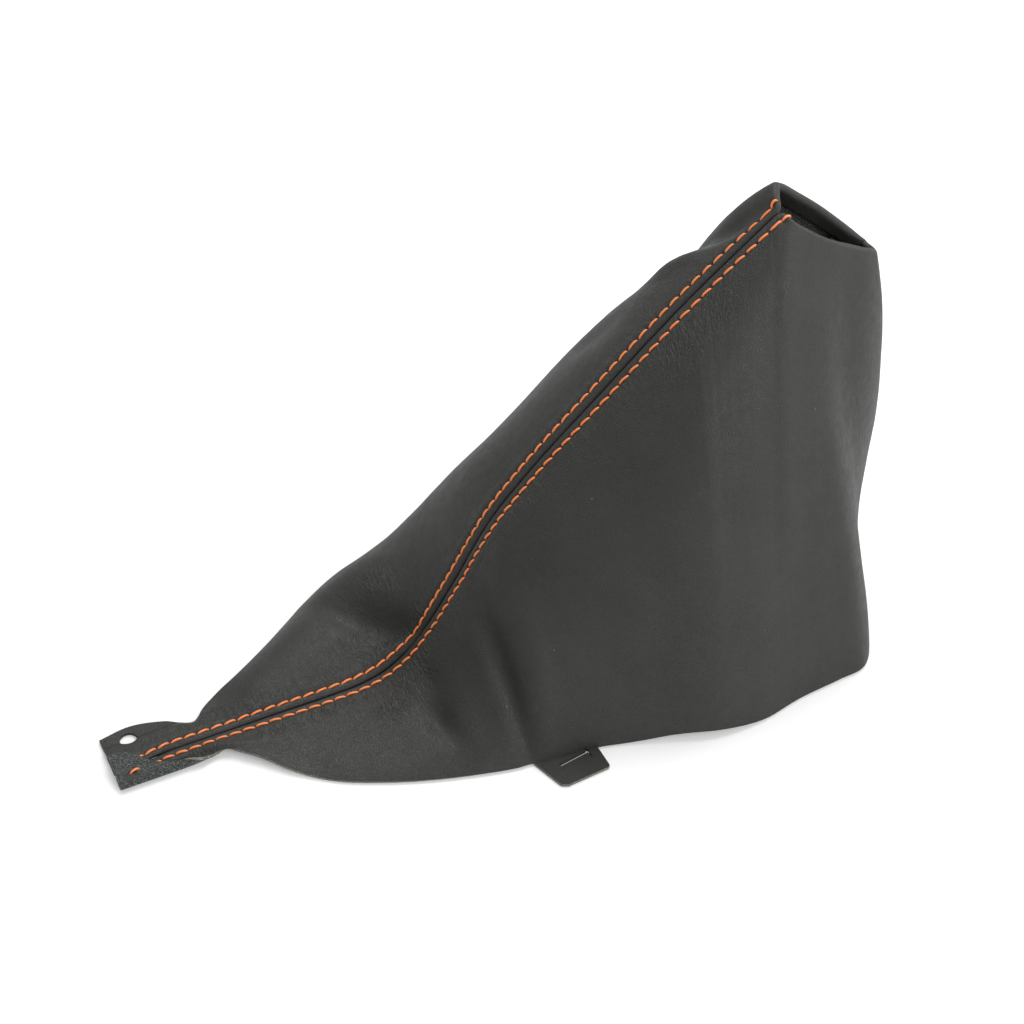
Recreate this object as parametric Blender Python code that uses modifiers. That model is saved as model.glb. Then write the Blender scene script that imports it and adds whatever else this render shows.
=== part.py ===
"""A car handbrake gaiter in two leather panels, lying as it does off the car.

Units are metres, +Z is up. The long seam runs along +X from the flat tail tab to the
collar. The near panel is on the -Y side and the far panel on the +Y side.
"""

import math

import bmesh
import bpy
import numpy as np

MM = 0.001

# Half-way along the length, where the part's origin stands on the ground
ORIGIN_X = 130.35

# Leather and sewing, in millimetres
THICKNESS = 1.1
FOLD_GAP = 0.3
SEAM_GAP = 0.3
SEAM_ALLOWANCE = 7.0
HEM_WIDTH = 9.0
TAIL_ROW_OFFSET = 1.5
TOP_ROW_OFFSET = 2.7
STITCH_LENGTH = 4.7
THREAD_RADIUS = 0.38
THREAD_CLEARANCE = 0.22
STITCH_HUMP = 0.3
JOINING_THREAD_RADIUS = 0.22

# The long seam seen from the side, as (x, z) from the tail to the collar
SEAM_PROFILE = (
    (-11.5, 2.0), (4.0, 2.0), (24.0, 2.0), (46.0, 2.0), (66.0, 2.0), (77.0, 2.5), (86.0, 5.0),
    (95.0, 11.2), (103.0, 20.5), (112.0, 34.5), (120.0, 48.0), (128.0, 60.5), (140.0, 74.0),
    (167.0, 99.5), (198.0, 127.5), (230.0, 152.6),
)

# The free edge on the ground, as (x, distance from the centre line), from tail to heel
FAR_EDGE = (
    (-11.5, 15.0), (-0.5, 16.7), (11.0, 14.0), (20.5, 9.2), (24.0, 13.2), (31.5, 18.6),
    (41.0, 24.0), (56.5, 33.8), (74.0, 46.2), (92.0, 55.2), (115.0, 58.5), (138.0, 59.0), (160.0, 65.5),
    (179.0, 71.8), (194.0, 72.4), (212.0, 69.0), (229.0, 67.3), (239.0, 66.0), (244.8, 60.5),
    (248.5, 48.0), (252.5, 30.0), (255.0, 0.0),
)
NEAR_EDGE = (
    (-11.5, 17.4), (-0.5, 18.9), (11.0, 16.0), (20.5, 8.5), (24.5, 8.3), (31.5, 13.8), (43.5, 26.8),
    (55.0, 36.0), (66.8, 42.2), (82.0, 48.4), (98.0, 53.3), (115.0, 56.9), (138.0, 59.0),
    (160.0, 65.5), (179.0, 71.8), (194.0, 72.4), (212.0, 69.0), (229.0, 67.3), (239.0, 66.0),
    (244.8, 60.5), (248.5, 48.0), (252.5, 30.0), (255.0, 0.0),
)

# Stretches of the near edge that stand off the ground, as (first x, last x, height)
NEAR_EDGE_LIFTS = ((10.0, 52.0, 2.4), (144.0, 200.0, 2.6))

# The collar's rim from the long seam round to the rear seam, as places (down the collar's slope,
# outward from the folded edge, above the collar's plane)
COLLAR_SLOPE_DEG = 33.5
NEAR_RIM = (
    (0.0, 0.0, 0.0), (2.5, 3.4, -0.8), (9.0, 5.6, -1.4), (18.0, 7.2, -1.5), (30.0, 6.6, -0.8),
    (38.5, 6.0, 0.0), (43.0, 4.2, 0.3), (43.2, 1.6, 0.5), (42.0, 0.0, 0.5),
)
FAR_RIM = (
    (0.0, 0.0, 0.0), (-0.4, 4.8, 2.6), (1.0, 9.0, 4.5), (5.0, 10.2, 4.8), (12.0, 9.0, 4.4),
    (21.5, 7.1, 3.6), (32.0, 4.1, 2.2), (42.0, 0.0, 0.5),
)

# Folds pressed into the lying leather, ridges with a negative depth, as (place along the top
# edge, place down the rib, depth, half length, half width, turn in degrees)
NEAR_FOLDS = (
    (109.0, 27.0, 2.0, 15.0, 7.0, 90.0), (142.0, 38.0, 2.0, 28.0, 7.0, 98.0),
    (158.0, 40.0, -1.5, 28.0, 9.0, 98.0),
)
FAR_FOLDS = ((101.0, 18.0, 2.6, 22.0, 7.5, -50.0), (112.0, 33.0, -1.8, 20.0, 8.0, -50.0))
FOLDS_FROM = 2.0
FOLDS_FULL = 10.0
FOLD_LEAN_DEG = 35.0

# Tabs with their fixing cuts
TAIL_HOLE_DIAMETER = 6.0
TAIL_HOLE_FROM_END = 9.0
TAIL_HOLE_FROM_SEAM = 11.2
CURL_START = 6.4
CURL_FULL_TO_X = 5.0
CURL_GONE_BY_X = 25.0
CURL_RADIUS = 1.8
CURL_ANGLE_DEG = 135.0
SIDE_TAB_X = 127.3
SIDE_TAB_WIDTH = 22.5
SIDE_TAB_DEPTHS = (12.8, 9.4)
SIDE_TAB_TAPERS = (4.5, 0.0)
SLIT_X = 129.4
SLIT_LENGTH = 11.8
SLIT_WIDTH = 1.0
SLIT_FROM_ROOT = 2.6
SLIT_TURN_DEG = 9.0
T_CUT_LENGTH = 4.2

# How the ribs of the leather run from the seam or the collar down to the free edge
SEAM_TO_EDGE = (
    (-11.5, -11.5), (20.5, 20.5), (66.0, 66.0), (86.0, 87.0), (103.0, 106.0), (120.0, 124.0),
    (140.0, 141.0), (167.0, 160.0), (198.0, 178.0), (227.0, 200.0),
)
RIM_TO_EDGE = ((0.0, 206.0), (45.0, 226.0), (90.0, 242.5), (135.0, 251.5), (180.0, 255.0))
CORNER_RADIUS = 2.5
FAN_LENGTH = 75.0
FAN_ANGLE_DEG = 45.0
FAN_RIM_DEG = 45.0
FLAT_TO_X = 25.0
DRAPED_FROM_X = 45.0
FLAT_SEAM_HEIGHT = 2.0
FULL_RISE_HEIGHT = 45.0
NEAR_SHOULDER = ((60.0, 0.33), (100.0, 0.5), (135.0, 0.55), (230.0, 0.5))
FAR_SHOULDER = (
    (60.0, 0.4), (85.0, 0.72), (120.0, 0.84), (150.0, 0.63), (178.0, 0.64), (205.0, 1.05),
    (230.0, 0.6),
)
FAR_PUFF = (
    (45.0, 0.0), (62.0, 4.0), (77.0, 19.0), (90.0, 24.0), (104.0, 20.0), (118.0, 11.0),
    (132.0, 0.0),
)
NEAR_PUFF = ((45.0, 0.0), (75.0, 3.0), (100.0, 3.0), (125.0, 0.0))
UNDER_SHARE = 0.7
SKIRT_SHARE = 0.42
RIM_SKIRT_SHARE = 0.18
SKIRT_LEAN = 0.3
RIM_FLARE = (0.25, 0.65, 1.05)
RIM_HANDLE_SHARES = (0.3, 0.42, 0.5)
SOFTEN = (-42.0, -28.0, -14.0, 0.0, 14.0, 28.0, 42.0)

# Mesh density
SEAM_LINE_SPACING = 7.5
RIM_LINE_COUNT = 13
BESIDE_ROWS = (5.2, 8.5)
ROW_COLUMN_INDEX = 2
RIB_ROW_COUNT = 9
FOLD_STEP_COUNT = 5
UNDER_ROW_COUNT = 3
SPAN_SAMPLE_COUNT = 12
SEAM_SAMPLE_COUNT = 160
RIM_SAMPLE_COUNT = 120
CORNER_SAMPLE_COUNT = 9
CORNER_LINE_COUNT = 2
RIB_SAMPLE_COUNT = 25
HOLE_SIDE_COUNT = 24
TANGENT_SHARE = 0.0025
BESIDE_SHARE = 0.6
TAB_ROW_SHARES = (0.15, 0.3, 0.65, 1.0)
REAR_ROW_SHARES = (0.5, 1.0)

FOLD_DEPTH = THICKNESS + FOLD_GAP
FOLD_RADIUS = FOLD_DEPTH / 2
SETBACK = FOLD_RADIUS + THICKNESS / 2 + SEAM_GAP / 2
GROUND = THICKNESS / 2
CUTTER_DEPTH = 4 * THICKNESS
ON_SEAM = 1e-6

LEATHER = (0.052, 0.050, 0.047, 1.0)
TOPSTITCH = (0.86, 0.17, 0.05, 1.0)
BLACK_THREAD = (0.01, 0.01, 0.01, 1.0)


def unit(vector):
    """The vector at length one."""
    vector = np.asarray(vector, float)
    return vector / np.linalg.norm(vector, axis=-1, keepdims=True)


def smoothstep(value, start, end):
    """0 before start, 1 after end, and smooth between."""
    share = np.clip((value - start) / (end - start), 0.0, 1.0)
    return share * share * (3 - 2 * share)


def smooth_points(points):
    """A fine polyline of a smooth curve through the points, knotted by chord length."""
    points = np.asarray(points, float)
    chords = np.linalg.norm(np.diff(points, axis=0), axis=1)
    slopes = np.diff(points, axis=0) / chords[:, None]
    tangents = np.vstack([slopes[:1], slopes[-1:]])
    if len(points) > 2:
        before, after = chords[:-1, None], chords[1:, None]
        inner = (slopes[:-1] * after + slopes[1:] * before) / (before + after)
        tangents = np.vstack([slopes[:1], inner, slopes[-1:]])
    fine = []
    for i, chord in enumerate(chords):
        for step in range(SPAN_SAMPLE_COUNT):
            t = step / SPAN_SAMPLE_COUNT
            fine.append(
                (2 * t**3 - 3 * t**2 + 1) * points[i]
                + (t**3 - 2 * t**2 + t) * chord * tangents[i]
                + (3 * t**2 - 2 * t**3) * points[i + 1]
                + (t**3 - t**2) * chord * tangents[i + 1]
            )
    fine.append(points[-1])
    return np.array(fine)


class Path:
    """A polyline that is read by the distance along it."""

    def __init__(self, points):
        self.points = np.asarray(points, float)
        steps = np.linalg.norm(np.diff(self.points, axis=0), axis=1)
        self.distances = np.concatenate([[0.0], np.cumsum(steps)])
        self.length = self.distances[-1]

    def at(self, distance):
        """The point at this distance from the start."""
        return np.stack([np.interp(distance, self.distances, axis) for axis in self.points.T], -1)

    def tangent(self, distance):
        """The unit direction of travel at this distance."""
        reach = self.length * TANGENT_SHARE
        ahead = np.minimum(distance + reach, self.length)
        behind = np.maximum(distance - reach, 0.0)
        return unit(self.at(ahead) - self.at(behind))


def seam_path():
    """The long seam in the plane of symmetry, from the tail to the collar."""
    return Path(smooth_points([(x, 0.0, z) for x, z in SEAM_PROFILE]))


def collar_axes():
    """The collar's front point, its direction down the slope, and the normal of its plane."""
    x, z = SEAM_PROFILE[-1]
    slope = math.radians(COLLAR_SLOPE_DEG)
    down = np.array([math.cos(slope), 0.0, -math.sin(slope)])
    normal = np.array([math.sin(slope), 0.0, math.cos(slope)])
    return np.array([x, 0.0, z]), down, normal


def rim_path(places, side):
    """One side of the collar's rim, from the long seam to the rear seam."""
    front, down, normal = collar_axes()
    points = []
    for along, out, above in smooth_points(places):
        sideways = np.array([0.0, side * (SETBACK + out), 0.0])
        points.append(front + down * along + normal * above + sideways)
    return Path(points)


class Panel:
    """One leather panel: the surface between its long seam, collar, rear seam and free edge."""

    def __init__(self, side, edge, shoulder, puff, rim, folds, curl_deg=0.0, lifts=()):
        self.side = side
        self.shoulder = np.transpose(shoulder)
        self.puff = np.transpose(smooth_points(puff))
        self.rim = rim_path(rim, side)
        self.folds = folds
        self.curl = math.radians(curl_deg)
        self.lifts = lifts
        self.edge = Path(smooth_points(edge))
        self.seam = seam_path()
        self.seam_end = self.seam.length - CORNER_RADIUS
        self.upper, self.corner_end = self.upper_path()
        self.edge_map = self.rib_feet()

    def upper_path(self):
        """The folded top edge: the long seam, a small round corner, and half the collar."""
        shift = np.array([0.0, self.side * SETBACK, 0.0])
        along = np.linspace(0.0, self.seam_end, SEAM_SAMPLE_COUNT)
        seam = [self.seam.at(d) + shift for d in along]
        start, end = seam[-1], self.rim.at(CORNER_RADIUS)
        corner = self.seam.at(self.seam.length) + shift
        turn = []
        for t in np.linspace(0, 1, CORNER_SAMPLE_COUNT)[1:-1]:
            turn.append((1 - t) ** 2 * start + 2 * t * (1 - t) * corner + t**2 * end)
        around = np.linspace(CORNER_RADIUS, self.rim.length, RIM_SAMPLE_COUNT)
        onward = [self.rim.at(d) for d in around]
        corner_path = Path([start, *turn, end])
        return Path([*seam, *turn, *onward]), self.seam_end + corner_path.length

    def rim_degrees(self, distance):
        """How far round the collar this distance lies, in degrees from the corner."""
        share = (distance - self.corner_end) / (self.upper.length - self.corner_end)
        return 180.0 * np.clip(share, 0.0, 1.0)

    def rib_feet(self):
        """Distances along the upper path, and the free edge's x where their ribs end."""
        pairs = []
        for seam_x, edge_x in SEAM_TO_EDGE:
            pairs.append((np.interp(seam_x, self.seam.points[:, 0], self.seam.distances), edge_x))
        rim_length = self.upper.length - self.corner_end
        for degrees, edge_x in RIM_TO_EDGE:
            pairs.append((self.corner_end + rim_length * degrees / 180.0, edge_x))
        return np.transpose(smooth_points(pairs))

    def edge_distance(self, distance):
        """Where the rib from this place on the upper path meets the free edge."""
        x = np.interp(distance, *self.edge_map)
        return np.interp(x, self.edge.points[:, 0], self.edge.distances)

    def foot(self, distance):
        """The rib's lower end, on the free edge."""
        x, across = self.edge.at(self.edge_distance(distance))
        lift = 0.0
        for first, last, height in self.lifts:
            share = np.clip((x - first) / (last - first), 0.0, 1.0)
            lift += height * math.sin(math.pi * share) ** 2
        return np.array([x, self.side * max(across, SETBACK), GROUND + lift])

    def start_direction(self, distance):
        """Which way the rib leaves the upper path."""
        sideways = np.array([0.0, self.side, 0.0])
        fan = math.radians(FAN_ANGLE_DEG)
        if distance <= self.seam_end:
            turn = fan * smoothstep(distance, self.seam_end - FAN_LENGTH, self.seam_end)
            return unit(math.cos(turn) * sideways - math.sin(turn) * self.seam.tangent(distance))
        degrees = float(self.rim_degrees(distance))
        angle = math.radians(degrees)
        _, down, normal = collar_axes()
        flare = np.interp(degrees, (0.0, 90.0, 180.0), RIM_FLARE)
        outward = -math.cos(angle) * down + math.sin(angle) * sideways
        drop = unit(flare * outward - normal)
        tangent = unit(math.sin(angle) * down + math.cos(angle) * sideways)
        turn = fan + (math.pi / 2 - fan) * smoothstep(degrees, 0.0, FAN_RIM_DEG)
        return unit(math.cos(turn) * tangent + math.sin(turn) * drop)

    def handles(self, distance):
        """How the rib leaves its two ends, as offsets from them."""
        top = self.upper.at(distance)
        foot = self.foot(distance)
        start = self.start_direction(distance)
        reach = np.linalg.norm(foot - top)
        width = np.linalg.norm((foot - top)[:2])
        height = top[2] - foot[2]
        rise = smoothstep(top[2], FLAT_SEAM_HEIGHT, FULL_RISE_HEIGHT)
        round_rim = smoothstep(distance, self.seam_end - FAN_LENGTH, self.corner_end)
        share = np.interp(top[0], *self.shoulder)
        shoulder = reach / 3 + rise * (share * width - reach / 3)
        rim_share = np.interp(self.rim_degrees(distance), (0.0, 90.0, 180.0), RIM_HANDLE_SHARES)
        shoulder += round_rim * (rim_share * reach - shoulder)
        inward = unit(top - foot)
        level = unit(np.array([top[0] - foot[0], top[1] - foot[1], 0.0]))
        up = unit(level * SKIRT_LEAN + np.array([0.0, 0.0, 1.0]))
        lift = unit(inward * (1 - rise) + up * rise)
        skirt_share = SKIRT_SHARE + round_rim * (RIM_SKIRT_SHARE - SKIRT_SHARE)
        skirt = reach / 3 + rise * (skirt_share * height - reach / 3)
        puff = np.array([0.0, 0.0, np.interp(top[0], *self.puff, left=0.0, right=0.0)])
        return start * shoulder + puff / 2, lift * skirt + puff

    def rib(self, distance):
        """The rib as a path: a cubic curve from the upper path to the free edge."""
        top = self.upper.at(distance)
        foot = self.foot(distance)
        reach = min(1.0, distance / SOFTEN[-1], (self.upper.length - distance) / SOFTEN[-1])
        around = [self.handles(distance + reach * shift) for shift in SOFTEN]
        upper = top + np.mean([pair[0] for pair in around], axis=0)
        lower = foot + np.mean([pair[1] for pair in around], axis=0)
        points = []
        for t in np.linspace(0, 1, RIB_SAMPLE_COUNT):
            ends = (1 - t) ** 3 * top + t**3 * foot
            points.append(ends + 3 * t * (1 - t) ** 2 * upper + 3 * t**2 * (1 - t) * lower)
        return Path(points)

    def curl_at(self, x):
        """How far, in radians, the tail tab's free side is curled at this place."""
        return self.curl * (1 - smoothstep(x, CURL_FULL_TO_X, CURL_GONE_BY_X))

    def curled(self, point, across):
        """The point after the near half of the tail tab has curled up and over."""
        amount = self.curl_at(point[0])
        if amount <= 0 or across <= CURL_START:
            return point
        bend = min((across - CURL_START) / CURL_RADIUS, amount)
        rest = across - CURL_START - bend * CURL_RADIUS
        y = CURL_START + CURL_RADIUS * math.sin(bend) + rest * math.cos(bend)
        z = CURL_RADIUS * (1 - math.cos(bend)) + rest * math.sin(bend)
        return np.array([point[0], self.side * y, point[2] + z])

    def lines(self):
        """Where the ribs stand along the upper path, closer on the collar than on the seam."""
        count = max(2, round(self.seam_end / SEAM_LINE_SPACING))
        seam = list(np.linspace(0.0, self.seam_end, count + 1))
        corner = list(np.linspace(self.seam_end, self.corner_end, CORNER_LINE_COUNT + 2)[1:-1])
        rim = list(np.linspace(self.corner_end, self.upper.length, RIM_LINE_COUNT))
        return np.array(seam + corner + rim)

    def tab_lines(self, lines):
        """The lines with those nearest the side tab's ends moved onto them, and their numbers."""
        edge_x = np.array([self.edge.at(self.edge_distance(d))[0] for d in lines])
        found = []
        for x in (SIDE_TAB_X - SIDE_TAB_WIDTH / 2, SIDE_TAB_X + SIDE_TAB_WIDTH / 2):
            nearest = int(np.argmin(np.abs(edge_x - x)))
            lines[nearest] = np.interp(x, edge_x, lines)
            found.append(nearest)
        return lines, found[0], found[1]

    def row_offset(self, distance):
        """How far from the folded edge the topstitch runs, a little wider towards the collar."""
        share = smoothstep(distance, 0.0, self.seam_end)
        return TAIL_ROW_OFFSET + (TOP_ROW_OFFSET - TAIL_ROW_OFFSET) * share

    def rows_of(self, distance, length):
        """Distances from the folded edge for one rib, closest at the top."""
        row = self.row_offset(distance)
        squeeze = min(1.0, BESIDE_SHARE * length / BESIDE_ROWS[-1])
        near_top = [0.0, row / ROW_COLUMN_INDEX, row] + [beside * squeeze for beside in BESIDE_ROWS]
        return np.array(near_top + list(np.linspace(near_top[-1], length, RIB_ROW_COUNT + 1)[1:]))

    def under_width(self, distance, length):
        """How far the folded-under leather reaches, trimmed at the curl and at the neck."""
        hem = smoothstep(distance, self.corner_end, self.corner_end + 2 * HEM_WIDTH)
        width = SEAM_ALLOWANCE + (HEM_WIDTH - SEAM_ALLOWANCE) * hem
        if self.curl_at(self.upper.at(distance)[0]) > 0:
            width = min(width, CURL_START - THICKNESS / 2)
        return min(width, UNDER_SHARE * length)

    def pressed(self, along, across):
        """How far the folds of the lying leather move this place."""
        depth = 0.0
        for centre, down, deep, length, width, turn_deg in self.folds:
            turn = math.radians(turn_deg)
            x, y = along - centre, across - down
            run = (x * math.cos(turn) + y * math.sin(turn)) / length
            rise = (y * math.cos(turn) - x * math.sin(turn)) / width
            depth += deep * math.exp(-(run**2) - rise**2)
        depth *= smoothstep(across, FOLDS_FROM, FOLDS_FULL)
        lean = math.radians(FOLD_LEAN_DEG)
        return -depth * np.array([0.0, self.side * math.sin(lean), math.cos(lean)])

    def point(self, along, rib, across, under):
        """The point this far down the rib, held up over the folded-under leather, and curled."""
        point = rib.at(across) + self.pressed(along, across)
        step = smoothstep(across, under + THICKNESS / 2, under + 3 * THICKNESS)
        floor = GROUND + FOLD_DEPTH * (1 - step)
        draped = smoothstep(rib.points[0][0], FLAT_TO_X, DRAPED_FROM_X)
        lift = (rib.points[-1][2] - GROUND) * smoothstep(across, 0.0, rib.length)
        point[2] = floor + lift * (1 - draped) + max(0.0, point[2] - floor) * draped
        return self.curled(point, across)

    def grid(self):
        """The leather's middle surface as rows of points, and the normals of its top part."""
        lines, tab_start, tab_end = self.tab_lines(self.lines())
        ribs = [self.rib(d) for d in lines]
        rows = [self.rows_of(d, rib.length) for d, rib in zip(lines, ribs)]
        widths = [self.under_width(d, rib.length) for d, rib in zip(lines, ribs)]
        top = []
        for along, rib, row, width in zip(lines, ribs, rows, widths):
            top.append([self.point(along, rib, w, width) for w in row])
        top = np.array(top)
        normals = self.side * unit(np.cross(np.gradient(top, axis=0), np.gradient(top, axis=1)))
        under = []
        for i, (rib, row) in enumerate(zip(ribs, rows)):
            column = []
            for share in np.linspace(1.0, 0.0, UNDER_ROW_COUNT + 1)[:-1]:
                w = share * widths[i]
                normal = [np.interp(w, row, normals[i, :, k]) for k in range(3)]
                point = self.point(lines[i], rib, w, widths[i])
                column.append(point - unit(normal) * FOLD_DEPTH)
            under.append(column + self.fold(self.upper.tangent(lines[i]), top[i, 0], normals[i, 0]))
        return lines, np.concatenate([np.array(under), top], axis=1), normals, (tab_start, tab_end)

    def fold(self, tangent, edge, normal):
        """Points round the fold, from below the folded edge back up to it."""
        outward = self.side * unit(np.cross(tangent, normal))
        centre = edge - normal * FOLD_RADIUS
        points = []
        for step in range(FOLD_STEP_COUNT):
            angle = math.pi * (1 - step / FOLD_STEP_COUNT)
            turned = math.cos(angle) * normal + math.sin(angle) * outward
            points.append(centre + FOLD_RADIUS * turned)
        nearest = min(self.side * point[1] for point in points)
        clear = np.array([0.0, self.side * max(0.0, SETBACK - FOLD_RADIUS - nearest), 0.0])
        return [point + clear for point in points]


def new_mesh_object(name, points, faces, collection):
    """A mesh object from points in millimetres and faces as lists of point numbers."""
    mesh = bpy.data.meshes.new(name)
    body = bmesh.new()
    verts = [body.verts.new([c * MM for c in point]) for point in points]
    for face in faces:
        body.faces.new([verts[i] for i in face])
    bmesh.ops.recalc_face_normals(body, faces=body.faces)
    body.to_mesh(mesh)
    body.free()
    mesh.shade_smooth()
    obj = bpy.data.objects.new(name, mesh)
    collection.objects.link(obj)
    return obj


def grid_faces(rows, columns, wanted):
    """Quads of a grid whose points are numbered row by row, where wanted(row, column) holds."""
    faces = []
    for i in range(rows - 1):
        for j in range(columns - 1):
            if wanted(i, j):
                a = i * columns + j
                faces.append((a, a + columns, a + columns + 1, a + 1))
    return faces


def tab_points(panel, grid, first, last):
    """The side tab's rows beyond the free edge, flat on the ground and narrower at its end."""
    points = []
    start, end = grid[first, -1, 0], grid[last, -1, 0]
    for i in range(first, last + 1):
        root = grid[i, -1]
        depth = np.interp(root[0], (start, end), SIDE_TAB_DEPTHS)
        for share in TAB_ROW_SHARES:
            narrowed = (start + SIDE_TAB_TAPERS[0] * share, end - SIDE_TAB_TAPERS[1] * share)
            x = np.interp(root[0], (start, end), narrowed)
            points.append((x, root[1] + panel.side * depth * share, GROUND))
    return points


def rear_points(panel, grid, normals, first_row):
    """The rear seam's allowance, folded inward below the hem."""
    points = []
    last = grid[-1, first_row:]
    normal = normals[-1, first_row - (grid.shape[1] - normals.shape[1]):]
    inward = np.array([0.0, panel.side, 0.0])
    for edge, up in zip(last, normal):
        flat = unit(up - inward * np.dot(up, inward))
        centre = edge - flat * FOLD_RADIUS
        column = []
        for step in range(1, FOLD_STEP_COUNT + 1):
            angle = math.pi * step / FOLD_STEP_COUNT
            column.append(centre + FOLD_RADIUS * (math.cos(angle) * flat - math.sin(angle) * inward))
        for share in REAR_ROW_SHARES:
            column.append(column[FOLD_STEP_COUNT - 1] + inward * SEAM_ALLOWANCE * share)
        points.extend(column)
    return points


def panel_object(panel, name, collection, material):
    """The panel as a leather sheet with its folds, hem, tabs and rear allowance."""
    lines, grid, normals, (first, last) = panel.grid()
    rows, columns = grid.shape[:2]
    points = [tuple(p) for p in grid.reshape(-1, 3)]
    faces = grid_faces(rows, columns, lambda i, j: True)
    width = len(TAB_ROW_SHARES)
    start = len(points)
    points += tab_points(panel, grid, first, last)
    for i in range(first, last):
        root_a, root_b = i * columns + columns - 1, (i + 1) * columns + columns - 1
        a, b = start + (i - first) * width, start + (i + 1 - first) * width
        faces.append((root_a, root_b, b, a))
        for k in range(width - 1):
            faces.append((a + k, b + k, b + k + 1, a + k + 1))
    first_row = columns - RIB_ROW_COUNT
    start = len(points)
    points += rear_points(panel, grid, normals, first_row)
    deep = FOLD_STEP_COUNT + len(REAR_ROW_SHARES)
    for j in range(RIB_ROW_COUNT - 1):
        edge = (rows - 1) * columns + first_row + j
        a, b = start + j * deep, start + (j + 1) * deep
        faces.append((edge, edge + 1, b, a))
        for k in range(deep - 1):
            faces.append((a + k, b + k, b + k + 1, a + k + 1))
    obj = new_mesh_object(name, points, faces, collection)
    obj.data.materials.append(material)
    shell = obj.modifiers.new("thickness", "SOLIDIFY")
    shell.thickness = THICKNESS * MM
    shell.offset = 0.0
    return obj, lines, grid, normals


def thread_object(name, points, radius, sides_level, collection, material):
    """A thread as a round tube through the points."""
    curve = bpy.data.curves.new(name, "CURVE")
    curve.dimensions = "3D"
    curve.bevel_depth = radius * MM
    curve.bevel_resolution = sides_level
    curve.use_fill_caps = True
    spline = curve.splines.new("POLY")
    spline.points.add(len(points) - 1)
    for target, point in zip(spline.points, points):
        target.co = (*[c * MM for c in point], 1.0)
    obj = bpy.data.objects.new(name, curve)
    obj.data.materials.append(material)
    collection.objects.link(obj)
    return obj


def topstitch_points(panel, lines, grid, normals):
    """One row of topstitch, humped between its needle holes, lying on the leather."""
    column = grid.shape[1] - normals.shape[1] + ROW_COLUMN_INDEX
    seam = lines <= panel.seam_end + ON_SEAM
    row = grid[seam, column]
    up = normals[seam, ROW_COLUMN_INDEX]
    base = Path(row)
    count = max(1, round((base.length - 2 * STITCH_LENGTH) / STITCH_LENGTH))
    points = []
    for step in range(2 * count + 1):
        distance = STITCH_LENGTH * 0.5 + step * STITCH_LENGTH / 2
        if distance > base.length - STITCH_LENGTH * 0.5:
            break
        normal = unit([np.interp(distance, base.distances, up[:, k]) for k in range(3)])
        height = THICKNESS / 2 + THREAD_CLEARANCE + THREAD_RADIUS + STITCH_HUMP * (step % 2)
        points.append(base.at(distance) + normal * height)
    return points


def joining_points(near_grid, far_grid, last_line, column, inward):
    """The thread that joins two folds, in the groove on their inner side."""
    reach = SETBACK - SEAM_GAP / 2 + JOINING_THREAD_RADIUS + THREAD_CLEARANCE
    depth = FOLD_RADIUS + math.sqrt(reach**2 - SETBACK**2)
    points = []
    for i in range(1, last_line):
        middle = (near_grid[i, column] + far_grid[i, column]) / 2
        points.append(middle + inward(i) * depth)
    return points


def rear_joining_points(near_grid, far_grid, normals):
    """The thread of the rear seam, in the groove between the two folds on the inside."""
    reach = SETBACK - SEAM_GAP / 2 + JOINING_THREAD_RADIUS + THREAD_CLEARANCE
    depth = FOLD_RADIUS + math.sqrt(reach**2 - SETBACK**2)
    points = []
    for j in range(1, RIB_ROW_COUNT):
        middle = (near_grid[-1, j - RIB_ROW_COUNT] + far_grid[-1, j - RIB_ROW_COUNT]) / 2
        up = normals[-1, j - RIB_ROW_COUNT]
        points.append(middle - unit([up[0], 0.0, up[2]]) * depth)
    points[-1] = points[-1] + unit(points[-2] - points[-1]) * THICKNESS
    return points


def make_material(name, colour, roughness):
    """A plain Principled material."""
    material = bpy.data.materials.new(name)
    material.use_nodes = True
    shader = material.node_tree.nodes["Principled BSDF"]
    shader.inputs["Base Color"].default_value = colour
    shader.inputs["Roughness"].default_value = roughness
    shader.inputs["Metallic"].default_value = 0.0
    return material


def cutter(name, location, size, collection):
    """A box or a cylinder that cuts a hole, hidden from the render."""
    obj = bpy.context.object
    obj.name = name
    obj.location = [c * MM for c in location]
    obj.dimensions = [c * MM for c in size]
    obj.hide_render = True
    obj.display_type = "WIRE"
    for owner in list(obj.users_collection):
        owner.objects.unlink(obj)
    collection.objects.link(obj)
    return obj


def cut(target, tool):
    """An exact Boolean difference."""
    modifier = target.modifiers.new(tool.name, "BOOLEAN")
    modifier.operation = "DIFFERENCE"
    modifier.solver = "EXACT"
    modifier.object = tool


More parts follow.
